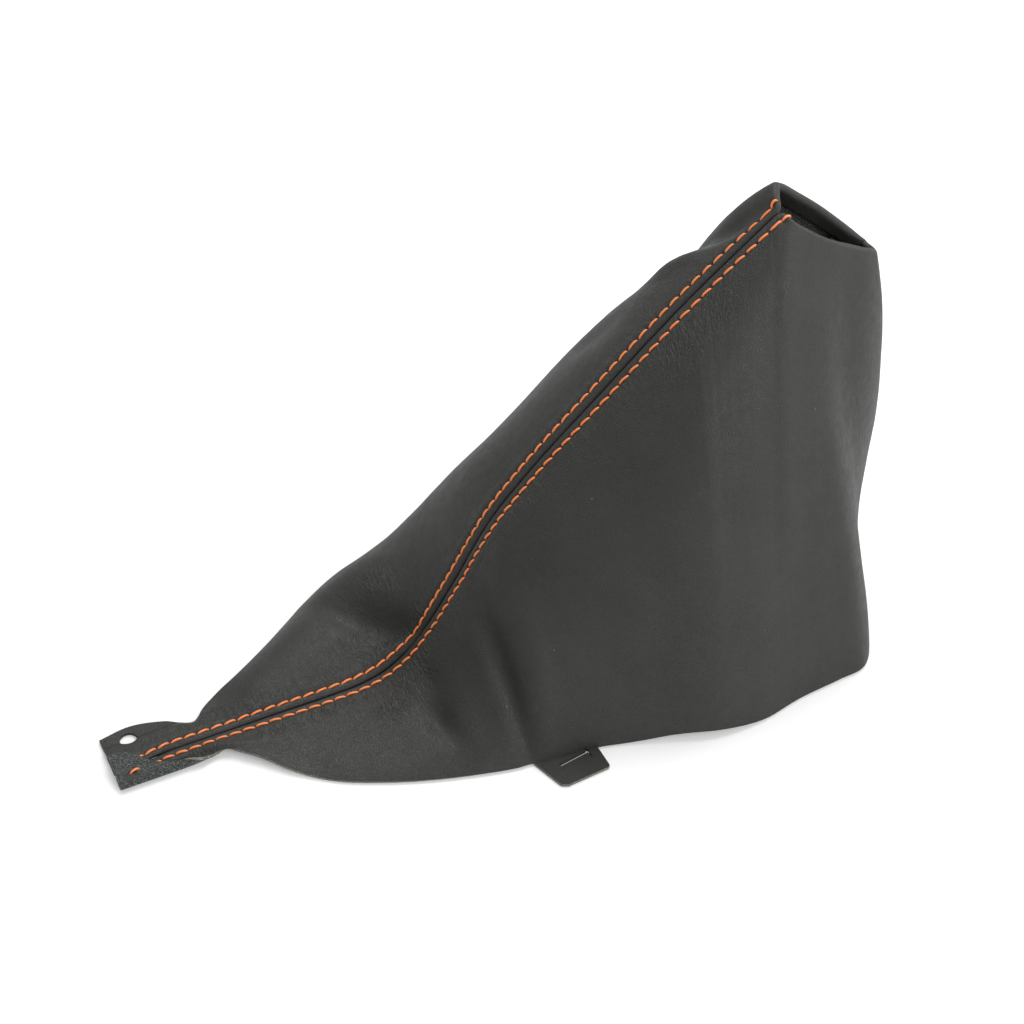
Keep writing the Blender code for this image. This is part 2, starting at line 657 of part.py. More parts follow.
def cut_tabs(obj, panel, cutters):
    """The fixing hole of the tail tab and the T-shaped slit of the side tab."""
    end_x = SEAM_PROFILE[0][0]
    hole_x = end_x + TAIL_HOLE_FROM_END
    if panel.curl:
        flat = np.array([hole_x, 0.0, GROUND + FOLD_DEPTH])
        hole = panel.curled(flat, TAIL_HOLE_FROM_SEAM - SETBACK)
        hole_y, hole_z = hole[1] + panel.side * SETBACK, hole[2]
        tilt = -panel.side * (math.pi - panel.curl)
    else:
        hole_y, hole_z, tilt = panel.side * TAIL_HOLE_FROM_SEAM, GROUND, 0.0
    bpy.ops.mesh.primitive_cylinder_add(vertices=HOLE_SIDE_COUNT)
    size = (TAIL_HOLE_DIAMETER, TAIL_HOLE_DIAMETER, CUTTER_DEPTH)
    hole = cutter(f"{obj.name}_hole_cutter", (hole_x, hole_y, hole_z), size, cutters)
    hole.rotation_euler = (tilt, 0.0, 0.0)
    cut(obj, hole)
    root = panel.edge.at(np.interp(SLIT_X, panel.edge.points[:, 0], panel.edge.distances))[1]
    slit_y = panel.side * (root + SLIT_FROM_ROOT)
    turn = -panel.side * math.radians(SLIT_TURN_DEG)
    reach = (SLIT_LENGTH - SLIT_WIDTH) / 2
    cross_at = (SLIT_X + reach * math.cos(turn), slit_y + reach * math.sin(turn), GROUND)
    cuts = (
        ("slit", (SLIT_X, slit_y, GROUND), (SLIT_LENGTH, SLIT_WIDTH, CUTTER_DEPTH)),
        ("cross", cross_at, (SLIT_WIDTH, T_CUT_LENGTH, CUTTER_DEPTH)),
    )
    for word, location, size in cuts:
        bpy.ops.mesh.primitive_cube_add()
        tool = cutter(f"{obj.name}_{word}_cutter", location, size, cutters)
        tool.rotation_euler = (0.0, 0.0, turn)
        cut(obj, tool)


def main():
    """Builds the gaiter's two panels and its threads."""
    for old in list(bpy.data.objects):
        bpy.data.objects.remove(old, do_unlink=True)
    parts = bpy.data.collections.new("handbrake_gaiter")
    cutters = bpy.data.collections.new("cutters")
    for collection in (parts, cutters):
        bpy.context.scene.collection.children.link(collection)
    leather = make_material("leather", LEATHER, 0.55)
    topstitch = make_material("topstitch_thread", TOPSTITCH, 0.5)
    black = make_material("joining_thread", BLACK_THREAD, 0.6)
    built = {}
    near = Panel(
        -1, NEAR_EDGE, NEAR_SHOULDER, NEAR_PUFF, NEAR_RIM, NEAR_FOLDS, CURL_ANGLE_DEG,
        NEAR_EDGE_LIFTS,
    )
    far = Panel(1, FAR_EDGE, FAR_SHOULDER, FAR_PUFF, FAR_RIM, FAR_FOLDS)
    for name, panel in (("near", near), ("far", far)):
        obj, lines, grid, normals = panel_object(panel, f"{name}_panel", parts, leather)
        cut_tabs(obj, panel, cutters)
        points = topstitch_points(panel, lines, grid, normals)
        thread_object(f"topstitch_{name}", points, THREAD_RADIUS, 1, parts, topstitch)
        built[name] = (panel, lines, grid, normals)
    panel, lines, near_grid, _ = built["near"]
    far_grid = built["far"][2]
    top_column = UNDER_ROW_COUNT + FOLD_STEP_COUNT
    seam_lines = int(np.sum(lines <= panel.seam_end + ON_SEAM))
    seam = panel.seam

    def below_seam(i):
        tangent = seam.tangent(lines[i])
        return np.array([tangent[2], 0.0, -tangent[0]])

    points = joining_points(near_grid, far_grid, seam_lines - 1, top_column, below_seam)
    thread_object("long_seam_thread", points, JOINING_THREAD_RADIUS, 0, parts, black)
    points = rear_joining_points(near_grid, far_grid, built["near"][3])
    thread_object("rear_seam_thread", points, JOINING_THREAD_RADIUS, 0, parts, black)
    origin = bpy.data.objects.new("gaiter_origin", None)
    origin.location = (-ORIGIN_X * MM, 0.0, 0.0)
    parts.objects.link(origin)
    for obj in [*parts.objects, *cutters.objects]:
        if obj is not origin:
            obj.parent = origin


main()
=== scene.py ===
"""The looks of a leather handbrake gaiter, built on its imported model.

Shapes are worked out in millimetres in the sleeve's own frame, whose x runs along the long
seam, and are put in the part's frame, in metres, when their meshes are placed.
"""

import logging
import math
from dataclasses import dataclass, field
from enum import Enum
from functools import reduce

import bmesh
import bpy
import numpy as np
from mathutils import Euler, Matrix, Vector, noise


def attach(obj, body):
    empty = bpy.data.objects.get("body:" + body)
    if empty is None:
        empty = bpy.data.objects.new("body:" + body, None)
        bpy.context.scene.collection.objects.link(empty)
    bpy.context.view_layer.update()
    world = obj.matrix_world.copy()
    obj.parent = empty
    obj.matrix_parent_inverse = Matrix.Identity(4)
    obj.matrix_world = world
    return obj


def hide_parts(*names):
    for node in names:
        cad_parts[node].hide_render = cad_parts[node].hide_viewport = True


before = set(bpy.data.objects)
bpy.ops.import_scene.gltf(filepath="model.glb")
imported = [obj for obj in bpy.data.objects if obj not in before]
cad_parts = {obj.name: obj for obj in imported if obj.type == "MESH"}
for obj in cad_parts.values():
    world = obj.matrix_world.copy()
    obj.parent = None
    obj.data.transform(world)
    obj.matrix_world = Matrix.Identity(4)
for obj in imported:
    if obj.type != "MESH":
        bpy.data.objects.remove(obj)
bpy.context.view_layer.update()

LOG = logging.getLogger("gaiter")
MM = 0.001
ORIGIN_X = 130.35
MIDDLE = (0.3, 0.7)


class Side(Enum):
    """Which side of the long seam a piece is on."""

    NEAR = -1
    FAR = 1


def unit(vectors: np.ndarray) -> np.ndarray:
    """The vectors at length one."""
    vectors = np.asarray(vectors, float)
    return vectors / np.maximum(np.linalg.norm(vectors, axis=-1, keepdims=True), 1e-12)


def smoothstep(value: np.ndarray, start: float, end: float) -> np.ndarray:
    """A smooth change from 0 at start to 1 at end.

    Args:
        value: Where it is read.
        start: The last place where it is 0.
        end: The first place where it is 1.

    Returns:
        The share at each value.
    """
    share = np.clip((np.asarray(value, float) - start) / (end - start), 0.0, 1.0)
    return share * share * (3 - 2 * share)


def smooth_points(points: np.ndarray, steps: int = 40) -> np.ndarray:
    """A fine polyline of a smooth curve through the points.

    Args:
        points: The points that the curve passes through.
        steps: Samples between two of them.

    Returns:
        The samples, one in each row.
    """
    points = np.asarray(points, float)
    chords = np.linalg.norm(np.diff(points, axis=0), axis=1)[:, None]
    slopes = np.diff(points, axis=0) / chords
    before, after = chords[:-1], chords[1:]
    inner = (slopes[:-1] * after + slopes[1:] * before) / (before + after)
    tangents = np.vstack([slopes[:1], inner, slopes[-1:]])
    t = np.linspace(0, 1, steps, endpoint=False)[None, :, None]
    start, end = points[:-1, None], points[1:, None]
    out, into = (chords * tangents[:-1])[:, None], (chords * tangents[1:])[:, None]
    fine = (2 * t**3 - 3 * t**2 + 1) * start + (t**3 - 2 * t**2 + t) * out
    fine = fine + (3 * t**2 - 2 * t**3) * end + (t**3 - t**2) * into
    return np.vstack([fine.reshape(-1, points.shape[1]), points[-1:]])


def ripple(points: np.ndarray, size: float, seed: float) -> np.ndarray:
    """Smooth noise from -1 to 1 that doesn't repeat.

    Args:
        points: Where it is read, in millimetres, with two or three columns.
        size: The rough distance between two crests, in millimetres.
        seed: A shift that gives another pattern.

    Returns:
        The noise at each point.
    """
    points = np.asarray(points, float)
    flat = np.zeros((points.size // points.shape[-1], 3))
    flat[:, : points.shape[-1]] = points.reshape(-1, points.shape[-1]) / size
    values = [noise.noise(Vector(place) + Vector((seed, seed * 0.7, seed * 1.3))) for place in flat]
    return np.array(values).reshape(points.shape[:-1])


class Line:
    """A polyline that is read by the distance along it."""

    def __init__(self, points: np.ndarray) -> None:
        """Measures the polyline through these corners, one in each row."""
        self.points = np.asarray(points, float)
        steps = np.linalg.norm(np.diff(self.points, axis=0), axis=1)
        self.distances = np.concatenate([[0.0], np.cumsum(steps)])
        self.length = float(self.distances[-1])

    def at(self, distance: np.ndarray) -> np.ndarray:
        """The point at each distance from the start."""
        return np.stack([np.interp(distance, self.distances, axis) for axis in self.points.T], -1)

    def tangent(self, distance: np.ndarray) -> np.ndarray:
        """The unit direction of travel at each distance."""
        reach = self.length / 400
        ahead = np.minimum(distance + reach, self.length)
        return unit(self.at(ahead) - self.at(np.maximum(distance - reach, 0.0)))


@dataclass(frozen=True)
class Sewing:
    """How the leather is cut, folded and sewn, in millimetres."""

    thickness: float = 1.1
    fold_gap: float = 0.25
    seam_gap: float = 0.12
    allowance: float = 7.0
    hem: float = 4.2
    rim_roll: float = 0.9
    tail_row: float = 1.5
    top_row: float = 2.7
    under_share: float = 0.7

    @property
    def fold_depth(self) -> float:
        """From the middle of the upper leather to the middle of the folded-under leather."""
        return self.thickness + self.fold_gap

    @property
    def setback(self) -> float:
        """From the centre plane to the folded edge's middle surface."""
        return self.fold_depth / 2 + self.thickness / 2 + self.seam_gap / 2

    @property
    def ground(self) -> float:
        """The height of leather that lies flat on the ground."""
        return self.thickness / 2


@dataclass(frozen=True)
class LongSeam:
    """The long seam in the sleeve's centre plane, and the pitch of its needle holes."""

    profile: tuple = (
        (-11.5, 2.0), (4.0, 2.0), (24.0, 2.0), (46.0, 2.0), (66.0, 2.0), (77.0, 2.5), (86.0, 5.0),
        (95.0, 11.2), (103.0, 20.5), (112.0, 34.5), (120.0, 48.0), (128.0, 60.5), (140.0, 74.0),
        (167.0, 99.5), (198.0, 127.5), (230.0, 152.6),
    )
    first_hole: float = 2.2
    least_stitch: float = 2.0
    pitch: tuple = (
        (0.0, 4.65), (45.0, 4.78), (70.0, 4.72), (100.0, 4.35), (122.0, 4.05), (148.0, 3.85),
        (170.0, 3.98), (197.0, 4.5), (225.0, 4.83), (254.0, 4.98), (290.0, 5.15),
    )

    def line(self) -> Line:
        """The seam from the tail to the collar."""
        return Line(smooth_points([(x, 0.0, z) for x, z in self.profile]))

    def holes(self, end: float) -> np.ndarray:
        """The distances of the needle holes along the seam, from the tail up to this end."""
        found = [self.first_hole]
        while found[-1] < end:
            found.append(found[-1] + float(np.interp(found[-1], *zip(*self.pitch))))
        return np.array(found[:-1] + [end] * (end - found[-2] > self.least_stitch))


@dataclass(frozen=True)
class Collar:
    """The opening at the top, which slopes down towards the heel."""

    front: tuple = (230.0, 152.6)
    slope_deg: float = 33.5

    @property
    def down(self) -> np.ndarray:
        """The direction down the collar's slope."""
        slope = math.radians(self.slope_deg)
        return np.array([math.cos(slope), 0.0, -math.sin(slope)])

    @property
    def normal(self) -> np.ndarray:
        """The normal of the collar's plane."""
        slope = math.radians(self.slope_deg)
        return np.array([math.sin(slope), 0.0, math.cos(slope)])

    def rim(self, places: tuple, side: int, setback: float) -> Line:
        """One side of the rim, from the long seam to the rear seam.

        Args:
            places: Places down the slope, out from the folded edge and above the plane.
            side: -1 near, 1 far.
            setback: The folded edge's distance from the centre plane.

        Returns:
            The rim.
        """
        along, out, above = smooth_points(places, 24).T[:, :, None]
        points = np.array([self.front[0], 0.0, self.front[1]]) + along * self.down + above * self.normal
        points[:, 1] += side * (setback + out[:, 0])
        return Line(points)


@dataclass(frozen=True)
class Dent:
    """A valley, or with a negative depth a ridge, in one panel."""

    along: float
    across: float
    depth: float
    long: float
    wide: float
    turn_deg: float = 0.0

    def height(self, along: np.ndarray, across: np.ndarray) -> np.ndarray:
        """How far it moves the leather along its normal.

        Args:
            along: Distances along the panel's upper edge.
            across: Distances down from that edge.

        Returns:
            The heights, negative in a valley.
        """
        turn = math.radians(self.turn_deg)
        x, y = along - self.along, across - self.across
        run = (x * math.cos(turn) + y * math.sin(turn)) / self.long
        rise = (y * math.cos(turn) - x * math.sin(turn)) / self.wide
        return -self.depth * np.exp(-(run**2) - rise**2)


@dataclass
class PanelShape:
    """One panel's middle surface, between its long seam, collar, rear seam and free edge."""

    side: Side
    edge: tuple
    shoulder: tuple
    puff: tuple
    rim: tuple
    curl_deg: float = 0.0
    lifts: tuple = ()
    folds: tuple = ()
    dents: tuple = ()
    wrinkles: tuple = ()
    sewing: Sewing = field(default_factory=Sewing)
    long_seam: LongSeam = field(default_factory=LongSeam)
    collar: Collar = field(default_factory=Collar)
    seam_to_edge: tuple = (
        (-11.5, -11.5), (20.5, 20.5), (66.0, 66.0), (86.0, 87.0), (103.0, 106.0), (120.0, 124.0),
        (140.0, 141.0), (167.0, 160.0), (198.0, 178.0), (227.0, 200.0),
    )
    rim_to_edge: tuple = ((0.0, 206.0), (45.0, 226.0), (90.0, 242.5), (135.0, 251.5), (180.0, 255.0))
    seam_samples: int = 500
    rim_samples: int = 240
    rib_samples: int = 260
    corner_radius: float = 2.5
    fan_length: float = 75.0
    fan_deg: float = 45.0
    flat_to_x: float = 25.0
    draped_from_x: float = 45.0
    flat_seam_height: float = 2.0
    full_rise_height: float = 45.0
    skirt_share: float = 0.42
    rim_skirt_share: float = 0.18
    skirt_lean: float = 0.3
    rim_turns: tuple = (0.0, 90.0, 180.0)
    rim_flare: tuple = (0.25, 0.65, 1.05)
    rim_handle_shares: tuple = (0.3, 0.42, 0.5)
    folds_from: float = 2.0
    folds_full: float = 10.0
    fold_lean_deg: float = 35.0
    soften: float = 42.0
    curl_start: float = 6.2
    curl_radius: float = 1.25
    curl_layers: float = 3.5
    narrowing: float = 8.0
    curl_full_to_x: float = 5.0
    curl_gone_by_x: float = 25.0
    row_to_rim: float = 4.2
    rim_closeness: float = 0.9
    sway: float = 1.5
    sway_to_x: float = 12.0
    most_sway: float = 3.2
    sway_fade: tuple = (2.0, 12.0)

    def __post_init__(self) -> None:
        """Works out the lines that the ribs hang between."""
        self.sign = self.side.value
        self.free_edge = Line(smooth_points(self.edge))
        self.seam = self.long_seam.line()
        self.seam_end = self.seam.length - self.corner_radius
        self.upper, self.corner_end = self._upper_line()
        self.feet_map = self._feet_map()
        self.stations = np.linspace(0.0, self.upper.length, self.rib_samples)
        handles = [self._handles(distance) for distance in self.stations]
        self.top_handles = np.array([pair[0] for pair in handles])
        self.foot_handles = np.array([pair[1] for pair in handles])

    def _upper_line(self) -> tuple[Line, float]:
        """The folded top edge: the long seam, a small round corner, and half the collar."""
        setback = self.sewing.setback
        shift = np.array([0.0, self.sign * setback, 0.0])
        seam = self.seam.at(np.linspace(0.0, self.seam_end, self.seam_samples)) + shift
        rim = self.collar.rim(self.rim, self.sign, setback)
        start, end = seam[-1], rim.at(self.corner_radius)
        corner = self.seam.at(self.seam.length) + shift
        t = np.linspace(0, 1, 17)[1:-1, None]
        turn = (1 - t) ** 2 * start + 2 * t * (1 - t) * corner + t**2 * end
        onward = rim.at(np.linspace(self.corner_radius, rim.length, self.rim_samples))
        corner_line = Line(np.vstack([start, turn, end]))
        return Line(np.vstack([seam, turn, onward])), self.seam_end + corner_line.length

    def rim_degrees(self, distance: np.ndarray) -> np.ndarray:
        """How far round the collar each distance lies, in degrees from the corner."""
        share = (distance - self.corner_end) / (self.upper.length - self.corner_end)
        return 180.0 * np.clip(share, 0.0, 1.0)

    def _feet_map(self) -> np.ndarray:
        """Distances along the upper line, and the free edge's x where their ribs end."""
        pairs = [
            (float(np.interp(x, self.seam.points[:, 0], self.seam.distances)), foot)
            for x, foot in self.seam_to_edge
        ]
        rim_length = self.upper.length - self.corner_end
        pairs += [(self.corner_end + rim_length * turn / 180.0, foot) for turn, foot in self.rim_to_edge]
        return np.transpose(smooth_points(pairs, 12))

    def feet(self, distance: np.ndarray) -> np.ndarray:
        """The ribs' lower ends, on the free edge."""
        edge_x = np.interp(distance, *self.feet_map)
        along = np.interp(edge_x, self.free_edge.points[:, 0], self.free_edge.distances)
        x, out = np.moveaxis(self.free_edge.at(along), -1, 0)
        lift = np.zeros_like(x)
        for first, last, height in self.lifts:
            share = np.clip((x - first) / (last - first), 0.0, 1.0)
            lift = lift + height * np.sin(math.pi * share) ** 2
        out = self.sign * np.maximum(out, self.sewing.setback)
        return np.stack([x, out, self.sewing.ground + lift], -1)

    def _start_direction(self, distance: float) -> np.ndarray:
        """Which way the rib leaves the upper line."""
        sideways = np.array([0.0, self.sign, 0.0])
        fan = math.radians(self.fan_deg)
        if distance <= self.seam_end:
            turn = fan * float(smoothstep(distance, self.seam_end - self.fan_length, self.seam_end))
            return unit(math.cos(turn) * sideways - math.sin(turn) * self.seam.tangent(distance))
        degrees = float(self.rim_degrees(distance))
        angle = math.radians(degrees)
        flare = float(np.interp(degrees, self.rim_turns, self.rim_flare))
        outward = -math.cos(angle) * self.collar.down + math.sin(angle) * sideways
        drop = unit(flare * outward - self.collar.normal)
        tangent = unit(math.sin(angle) * self.collar.down + math.cos(angle) * sideways)
        turn = fan + (math.pi / 2 - fan) * float(smoothstep(degrees, 0.0, 45.0))
        return unit(math.cos(turn) * tangent + math.sin(turn) * drop)

    def _handles(self, distance: float) -> tuple[np.ndarray, np.ndarray]:
        """How the rib leaves its two ends, as offsets from them."""
        top, foot = self.upper.at(distance), self.feet(np.array(distance))
        reach = np.linalg.norm(foot - top)
        width = np.linalg.norm((foot - top)[:2])
        rise = float(smoothstep(top[2], self.flat_seam_height, self.full_rise_height))
        round_rim = float(smoothstep(distance, self.seam_end - self.fan_length, self.corner_end))
        share = np.interp(top[0], *zip(*self.shoulder))
        shoulder = reach / 3 + rise * (share * width - reach / 3)
        rim_share = np.interp(self.rim_degrees(distance), self.rim_turns, self.rim_handle_shares)
        shoulder += round_rim * (rim_share * reach - shoulder)
        level = unit(np.array([top[0] - foot[0], top[1] - foot[1], 0.0]))
        up = unit(level * self.skirt_lean + np.array([0.0, 0.0, 1.0]))
        lift = unit(unit(top - foot) * (1 - rise) + up * rise)
        skirt_share = self.skirt_share + round_rim * (self.rim_skirt_share - self.skirt_share)
        skirt = reach / 3 + rise * (skirt_share * (top[2] - foot[2]) - reach / 3)
        puff_line = np.transpose(smooth_points(self.puff, 12))
        puff = np.array([0.0, 0.0, np.interp(top[0], *puff_line, left=0.0, right=0.0)])
        return self._start_direction(distance) * shoulder + puff / 2, lift * skirt + puff

    def ribs(self, distance: np.ndarray) -> np.ndarray:
        """The four control points of the rib at each distance along the upper line.

        Args:
            distance: Where the ribs start.

        Returns:
            Control points, as ribs by four by three.
        """
        top, foot = self.upper.at(distance), self.feet(distance)
        room = np.minimum(distance, self.upper.length - distance) / self.soften
        reach = np.minimum(1.0, room)
        upper, lower = np.zeros_like(top), np.zeros_like(foot)
        shifts = np.linspace(-self.soften, self.soften, 15)
        for shift in shifts:
            places = distance + reach * shift
            for k in range(3):
                upper[:, k] += np.interp(places, self.stations, self.top_handles[:, k])
                lower[:, k] += np.interp(places, self.stations, self.foot_handles[:, k])
        return np.stack([top, top + upper / len(shifts), foot + lower / len(shifts), foot], 1)

    @staticmethod
    def _on_ribs(ribs: np.ndarray, t: np.ndarray) -> np.ndarray:
        """Points of the ribs at these shares of their cubic curves."""
        t = t[..., None]
        points = (1 - t) ** 3 * ribs[:, 0, None] + 3 * t * (1 - t) ** 2 * ribs[:, 1, None]
        return points + 3 * t**2 * (1 - t) * ribs[:, 2, None] + t**3 * ribs[:, 3, None]

    def lengths(self, ribs: np.ndarray) -> np.ndarray:
        """The length of each rib."""
        fine = self._on_ribs(ribs, np.tile(np.linspace(0, 1, 65), (len(ribs), 1)))
        return np.linalg.norm(np.diff(fine, axis=1), axis=2).sum(1)

    def row_offset(self, distance: np.ndarray) -> np.ndarray:
        """How far from the folded edge the topstitch runs."""
        share = smoothstep(distance, 0.0, self.seam_end)
        offset = self.sewing.tail_row + (self.sewing.top_row - self.sewing.tail_row) * share
        past = np.clip((distance - self.seam_end) / self.row_to_rim, 0.0, 1.0)
        return offset * (1 - self.rim_closeness * past)

    def curl_at(self, x: np.ndarray) -> np.ndarray:
        """How far, in radians, the tail tab's free side is curled at each place."""
        return math.radians(self.curl_deg) * (1 - smoothstep(x, self.curl_full_to_x, self.curl_gone_by_x))

    def under_width(self, distance: np.ndarray, lengths: np.ndarray) -> np.ndarray:
        """How far the folded-under leather reaches at each rib.

        Args:
            distance: Where the ribs start.
            lengths: The lengths of the ribs.

        Returns:
            The widths, smaller at the neck and at the curl.
        """
        hem = smoothstep(distance, self.corner_end, self.corner_end + 2 * self.sewing.hem)
        width = self.sewing.allowance + (self.sewing.hem - self.sewing.allowance) * hem
        x = self.upper.at(distance)[:, 0]
        room = self.curl_start - self.curl_layers * self.sewing.thickness
        flat = 1 - smoothstep(x, self.flat_to_x - self.narrowing, self.flat_to_x + self.narrowing)
        flat = flat * (self.curl_deg > 0)
        width = width + (np.minimum(width, room) - width) * flat
        return np.minimum(width, self.sewing.under_share * lengths)

    def pressed(self, distance: np.ndarray, across: np.ndarray) -> np.ndarray:
        """How far the broad folds of the lying leather move each place.

        Args:
            distance: Where each rib starts on the upper line.
            across: Distances down each rib, one row for each rib.

        Returns:
            The moves.
        """
        height = np.zeros_like(across)
        for fold in self.folds:
            height = height + fold.height(distance[:, None], across)
        height = height * smoothstep(across, self.folds_from, self.folds_full)
        lean = math.radians(self.fold_lean_deg)
        return height[..., None] * np.array([0.0, self.sign * math.sin(lean), math.cos(lean)])

    def surface(self, distance: np.ndarray, across: np.ndarray) -> np.ndarray:
        """Points of the panel's middle surface, before its sewn relief.

        Args:
            distance: Where each rib starts on the upper line.
            across: Distances down each rib, one row for each rib.

        Returns:
            The points, as ribs by places by three.
        """
        ribs = self.ribs(distance)
        shares = np.tile(np.linspace(0, 1, 129), (len(ribs), 1))
        fine = self._on_ribs(ribs, shares)
        steps = np.linalg.norm(np.diff(fine, axis=1), axis=2)
        runs = np.concatenate([np.zeros((len(ribs), 1)), np.cumsum(steps, 1)], 1)
        t = np.array([np.interp(a, run, share) for a, run, share in zip(across, runs, shares)])
        points = self._on_ribs(ribs, t) + self.pressed(distance, across)
        under = self.under_width(distance, runs[:, -1])[:, None]
        thick, depth = self.sewing.thickness, self.sewing.fold_depth
        floor = self.sewing.ground + depth * (1 - smoothstep(across - under, thick / 2, 3 * thick))
        draped = smoothstep(ribs[:, 0, 0], self.flat_to_x, self.draped_from_x)[:, None]
        lift = (ribs[:, 3, 2] - self.sewing.ground)[:, None] * smoothstep(across / runs[:, -1:], 0.0, 1.0)
        above = np.maximum(0.0, points[..., 2] - floor)
        points[..., 2] = floor + lift * (1 - draped) + above * draped
        past = np.maximum(0.0, 1 - points[..., 0] / self.sway_to_x)
        sway = np.minimum(self.sway * past**2, self.most_sway)
        points[..., 1] -= sway * (1 - smoothstep(across, *self.sway_fade))
        return points

    def curled(self, points: np.ndarray, across: np.ndarray) -> np.ndarray:
        """The points after the near half of the tail tab has curled up and over.

        Args:
            points: Points of the panel.
            across: Their distances from the folded edge.

        Returns:
            The moved points.
        """
        amount = self.curl_at(points[..., 0])
        past = across - self.curl_start
        bend = np.clip(past / self.curl_radius, 0.0, amount)
        rest = past - bend * self.curl_radius
        y = self.curl_radius * np.sin(bend) + rest * np.cos(bend) - past
        z = self.curl_radius * (1 - np.cos(bend)) + rest * np.sin(bend)
        move = np.stack([np.zeros_like(y), self.sign * y, z], -1)
        return points + move * ((amount > 0) & (past > 0))[..., None]


class Nodes:
    """Adds nodes to one shader tree and joins their sockets."""

    def __init__(self, tree: bpy.types.NodeTree) -> None:
        """Starts on a material's, a world's or a group's node tree."""
        self.tree = tree

    def add(self, kind: str, inputs: dict | None = None, **settings: object) -> bpy.types.Node:
        """Adds a node.

        Args:
            kind: The node's type, such as ShaderNodeMath.
            inputs: Values or sockets, by the input's name or number.
            settings: The node's own settings.

        Returns:
            The node.
        """
        node = self.tree.nodes.new(kind)
        for name, value in settings.items():
            setattr(node, name, value)
        for name, value in (inputs or {}).items():
            self.put(node.inputs[name], value)
        return node

    def put(self, target: bpy.types.NodeSocket, value: object) -> None:
        """Gives an input its value, or joins it to the socket that is given."""
        if isinstance(value, bpy.types.NodeSocket):
            self.tree.links.new(value, target)
        else:
            target.default_value = value

    def attribute(self, name: str, output: str = "Fac") -> bpy.types.NodeSocket:
        """A mesh attribute's value."""
        return self.add("ShaderNodeAttribute", attribute_name=name).outputs[output]

    def bump(self, shader: bpy.types.Node, height: object, depth: float, strength: float = 1.0) -> None:
        """Lets a height tilt a shader's normal."""
        node = self.add("ShaderNodeBump", {"Height": height, "Distance": depth, "Strength": strength})
        self.put(shader.inputs["Normal"], node.outputs["Normal"])

    def math(self, operation: str, first: object, second: object = 0.0) -> bpy.types.NodeSocket:
        """The result of a Math node on two values or sockets."""
        node = self.add("ShaderNodeMath", {0: first, 1: second}, operation=operation)
        return node.outputs[0]

    def weighed(self, parts: tuple, shares: tuple) -> bpy.types.NodeSocket:
        """The sum of some values, each times its share."""
        pairs = [self.math("MULTIPLY", part, share) for part, share in zip(parts, shares)]
        return reduce(lambda total, pair: self.math("ADD", total, pair), pairs)

    def mix(self, share: object, first: object, second: object) -> bpy.types.NodeSocket:
        """The colour between two colours at this share."""
        node = self.add("ShaderNodeMix", data_type="RGBA")
        for name, value in (("Factor_Float", share), ("A_Color", first), ("B_Color", second)):
            self.put(next(s for s in node.inputs if s.identifier == name), value)
        return next(s for s in node.outputs if s.identifier == "Result_Color")

    def span(
        self, value: object, low: object, high: object, out_low: float, out_high: float, **settings: object
    ) -> bpy.types.NodeSocket:
        """A value carried from one range to another, and held inside it."""
        inputs = {"Value": value, "From Min": low, "From Max": high, "To Min": out_low, "To Max": out_high}
        return self.add("ShaderNodeMapRange", inputs, **settings).outputs["Result"]

    def noise(
        self, vector: object, scale: object, detail: float = 2.0, roughness: float = 0.5
    ) -> bpy.types.NodeSocket:
        """The value of a noise texture."""
        inputs = {"Vector": vector, "Scale": scale, "Detail": detail, "Roughness": roughness}
        return self.add("ShaderNodeTexNoise", inputs).outputs["Fac"]


class ShaderGroup:
    """A shader node group with named inputs and outputs, built once."""

    name = ""
    inputs: tuple = ()
    outputs: tuple = ()

    def tree(self) -> bpy.types.NodeTree:
        """The group's tree, which is made at its first use."""
        found = bpy.data.node_groups.get(self.name)
        if found:
            return found
        tree = bpy.data.node_groups.new(self.name, "ShaderNodeTree")
        for name, kind, value in self.inputs:
            socket = tree.interface.new_socket(name, in_out="INPUT", socket_type=kind)
            if value is not None:
                socket.default_value = value
        for name, kind in self.outputs:
            tree.interface.new_socket(name, in_out="OUTPUT", socket_type=kind)
        nodes = Nodes(tree)
        given = nodes.add("NodeGroupInput").outputs
        self.fill(nodes, given, nodes.add("NodeGroupOutput"))
        return tree

    def fill(self, nodes: Nodes, given: object, result: bpy.types.Node) -> None:
        """Makes the group's nodes between its inputs and its outputs."""
        raise NotImplementedError

    def place(self, nodes: Nodes, inputs: dict) -> bpy.types.Node:
        """Adds the group to a material's nodes, with values or sockets by the input's name."""
        return nodes.add("ShaderNodeGroup", inputs, node_tree=self.tree())


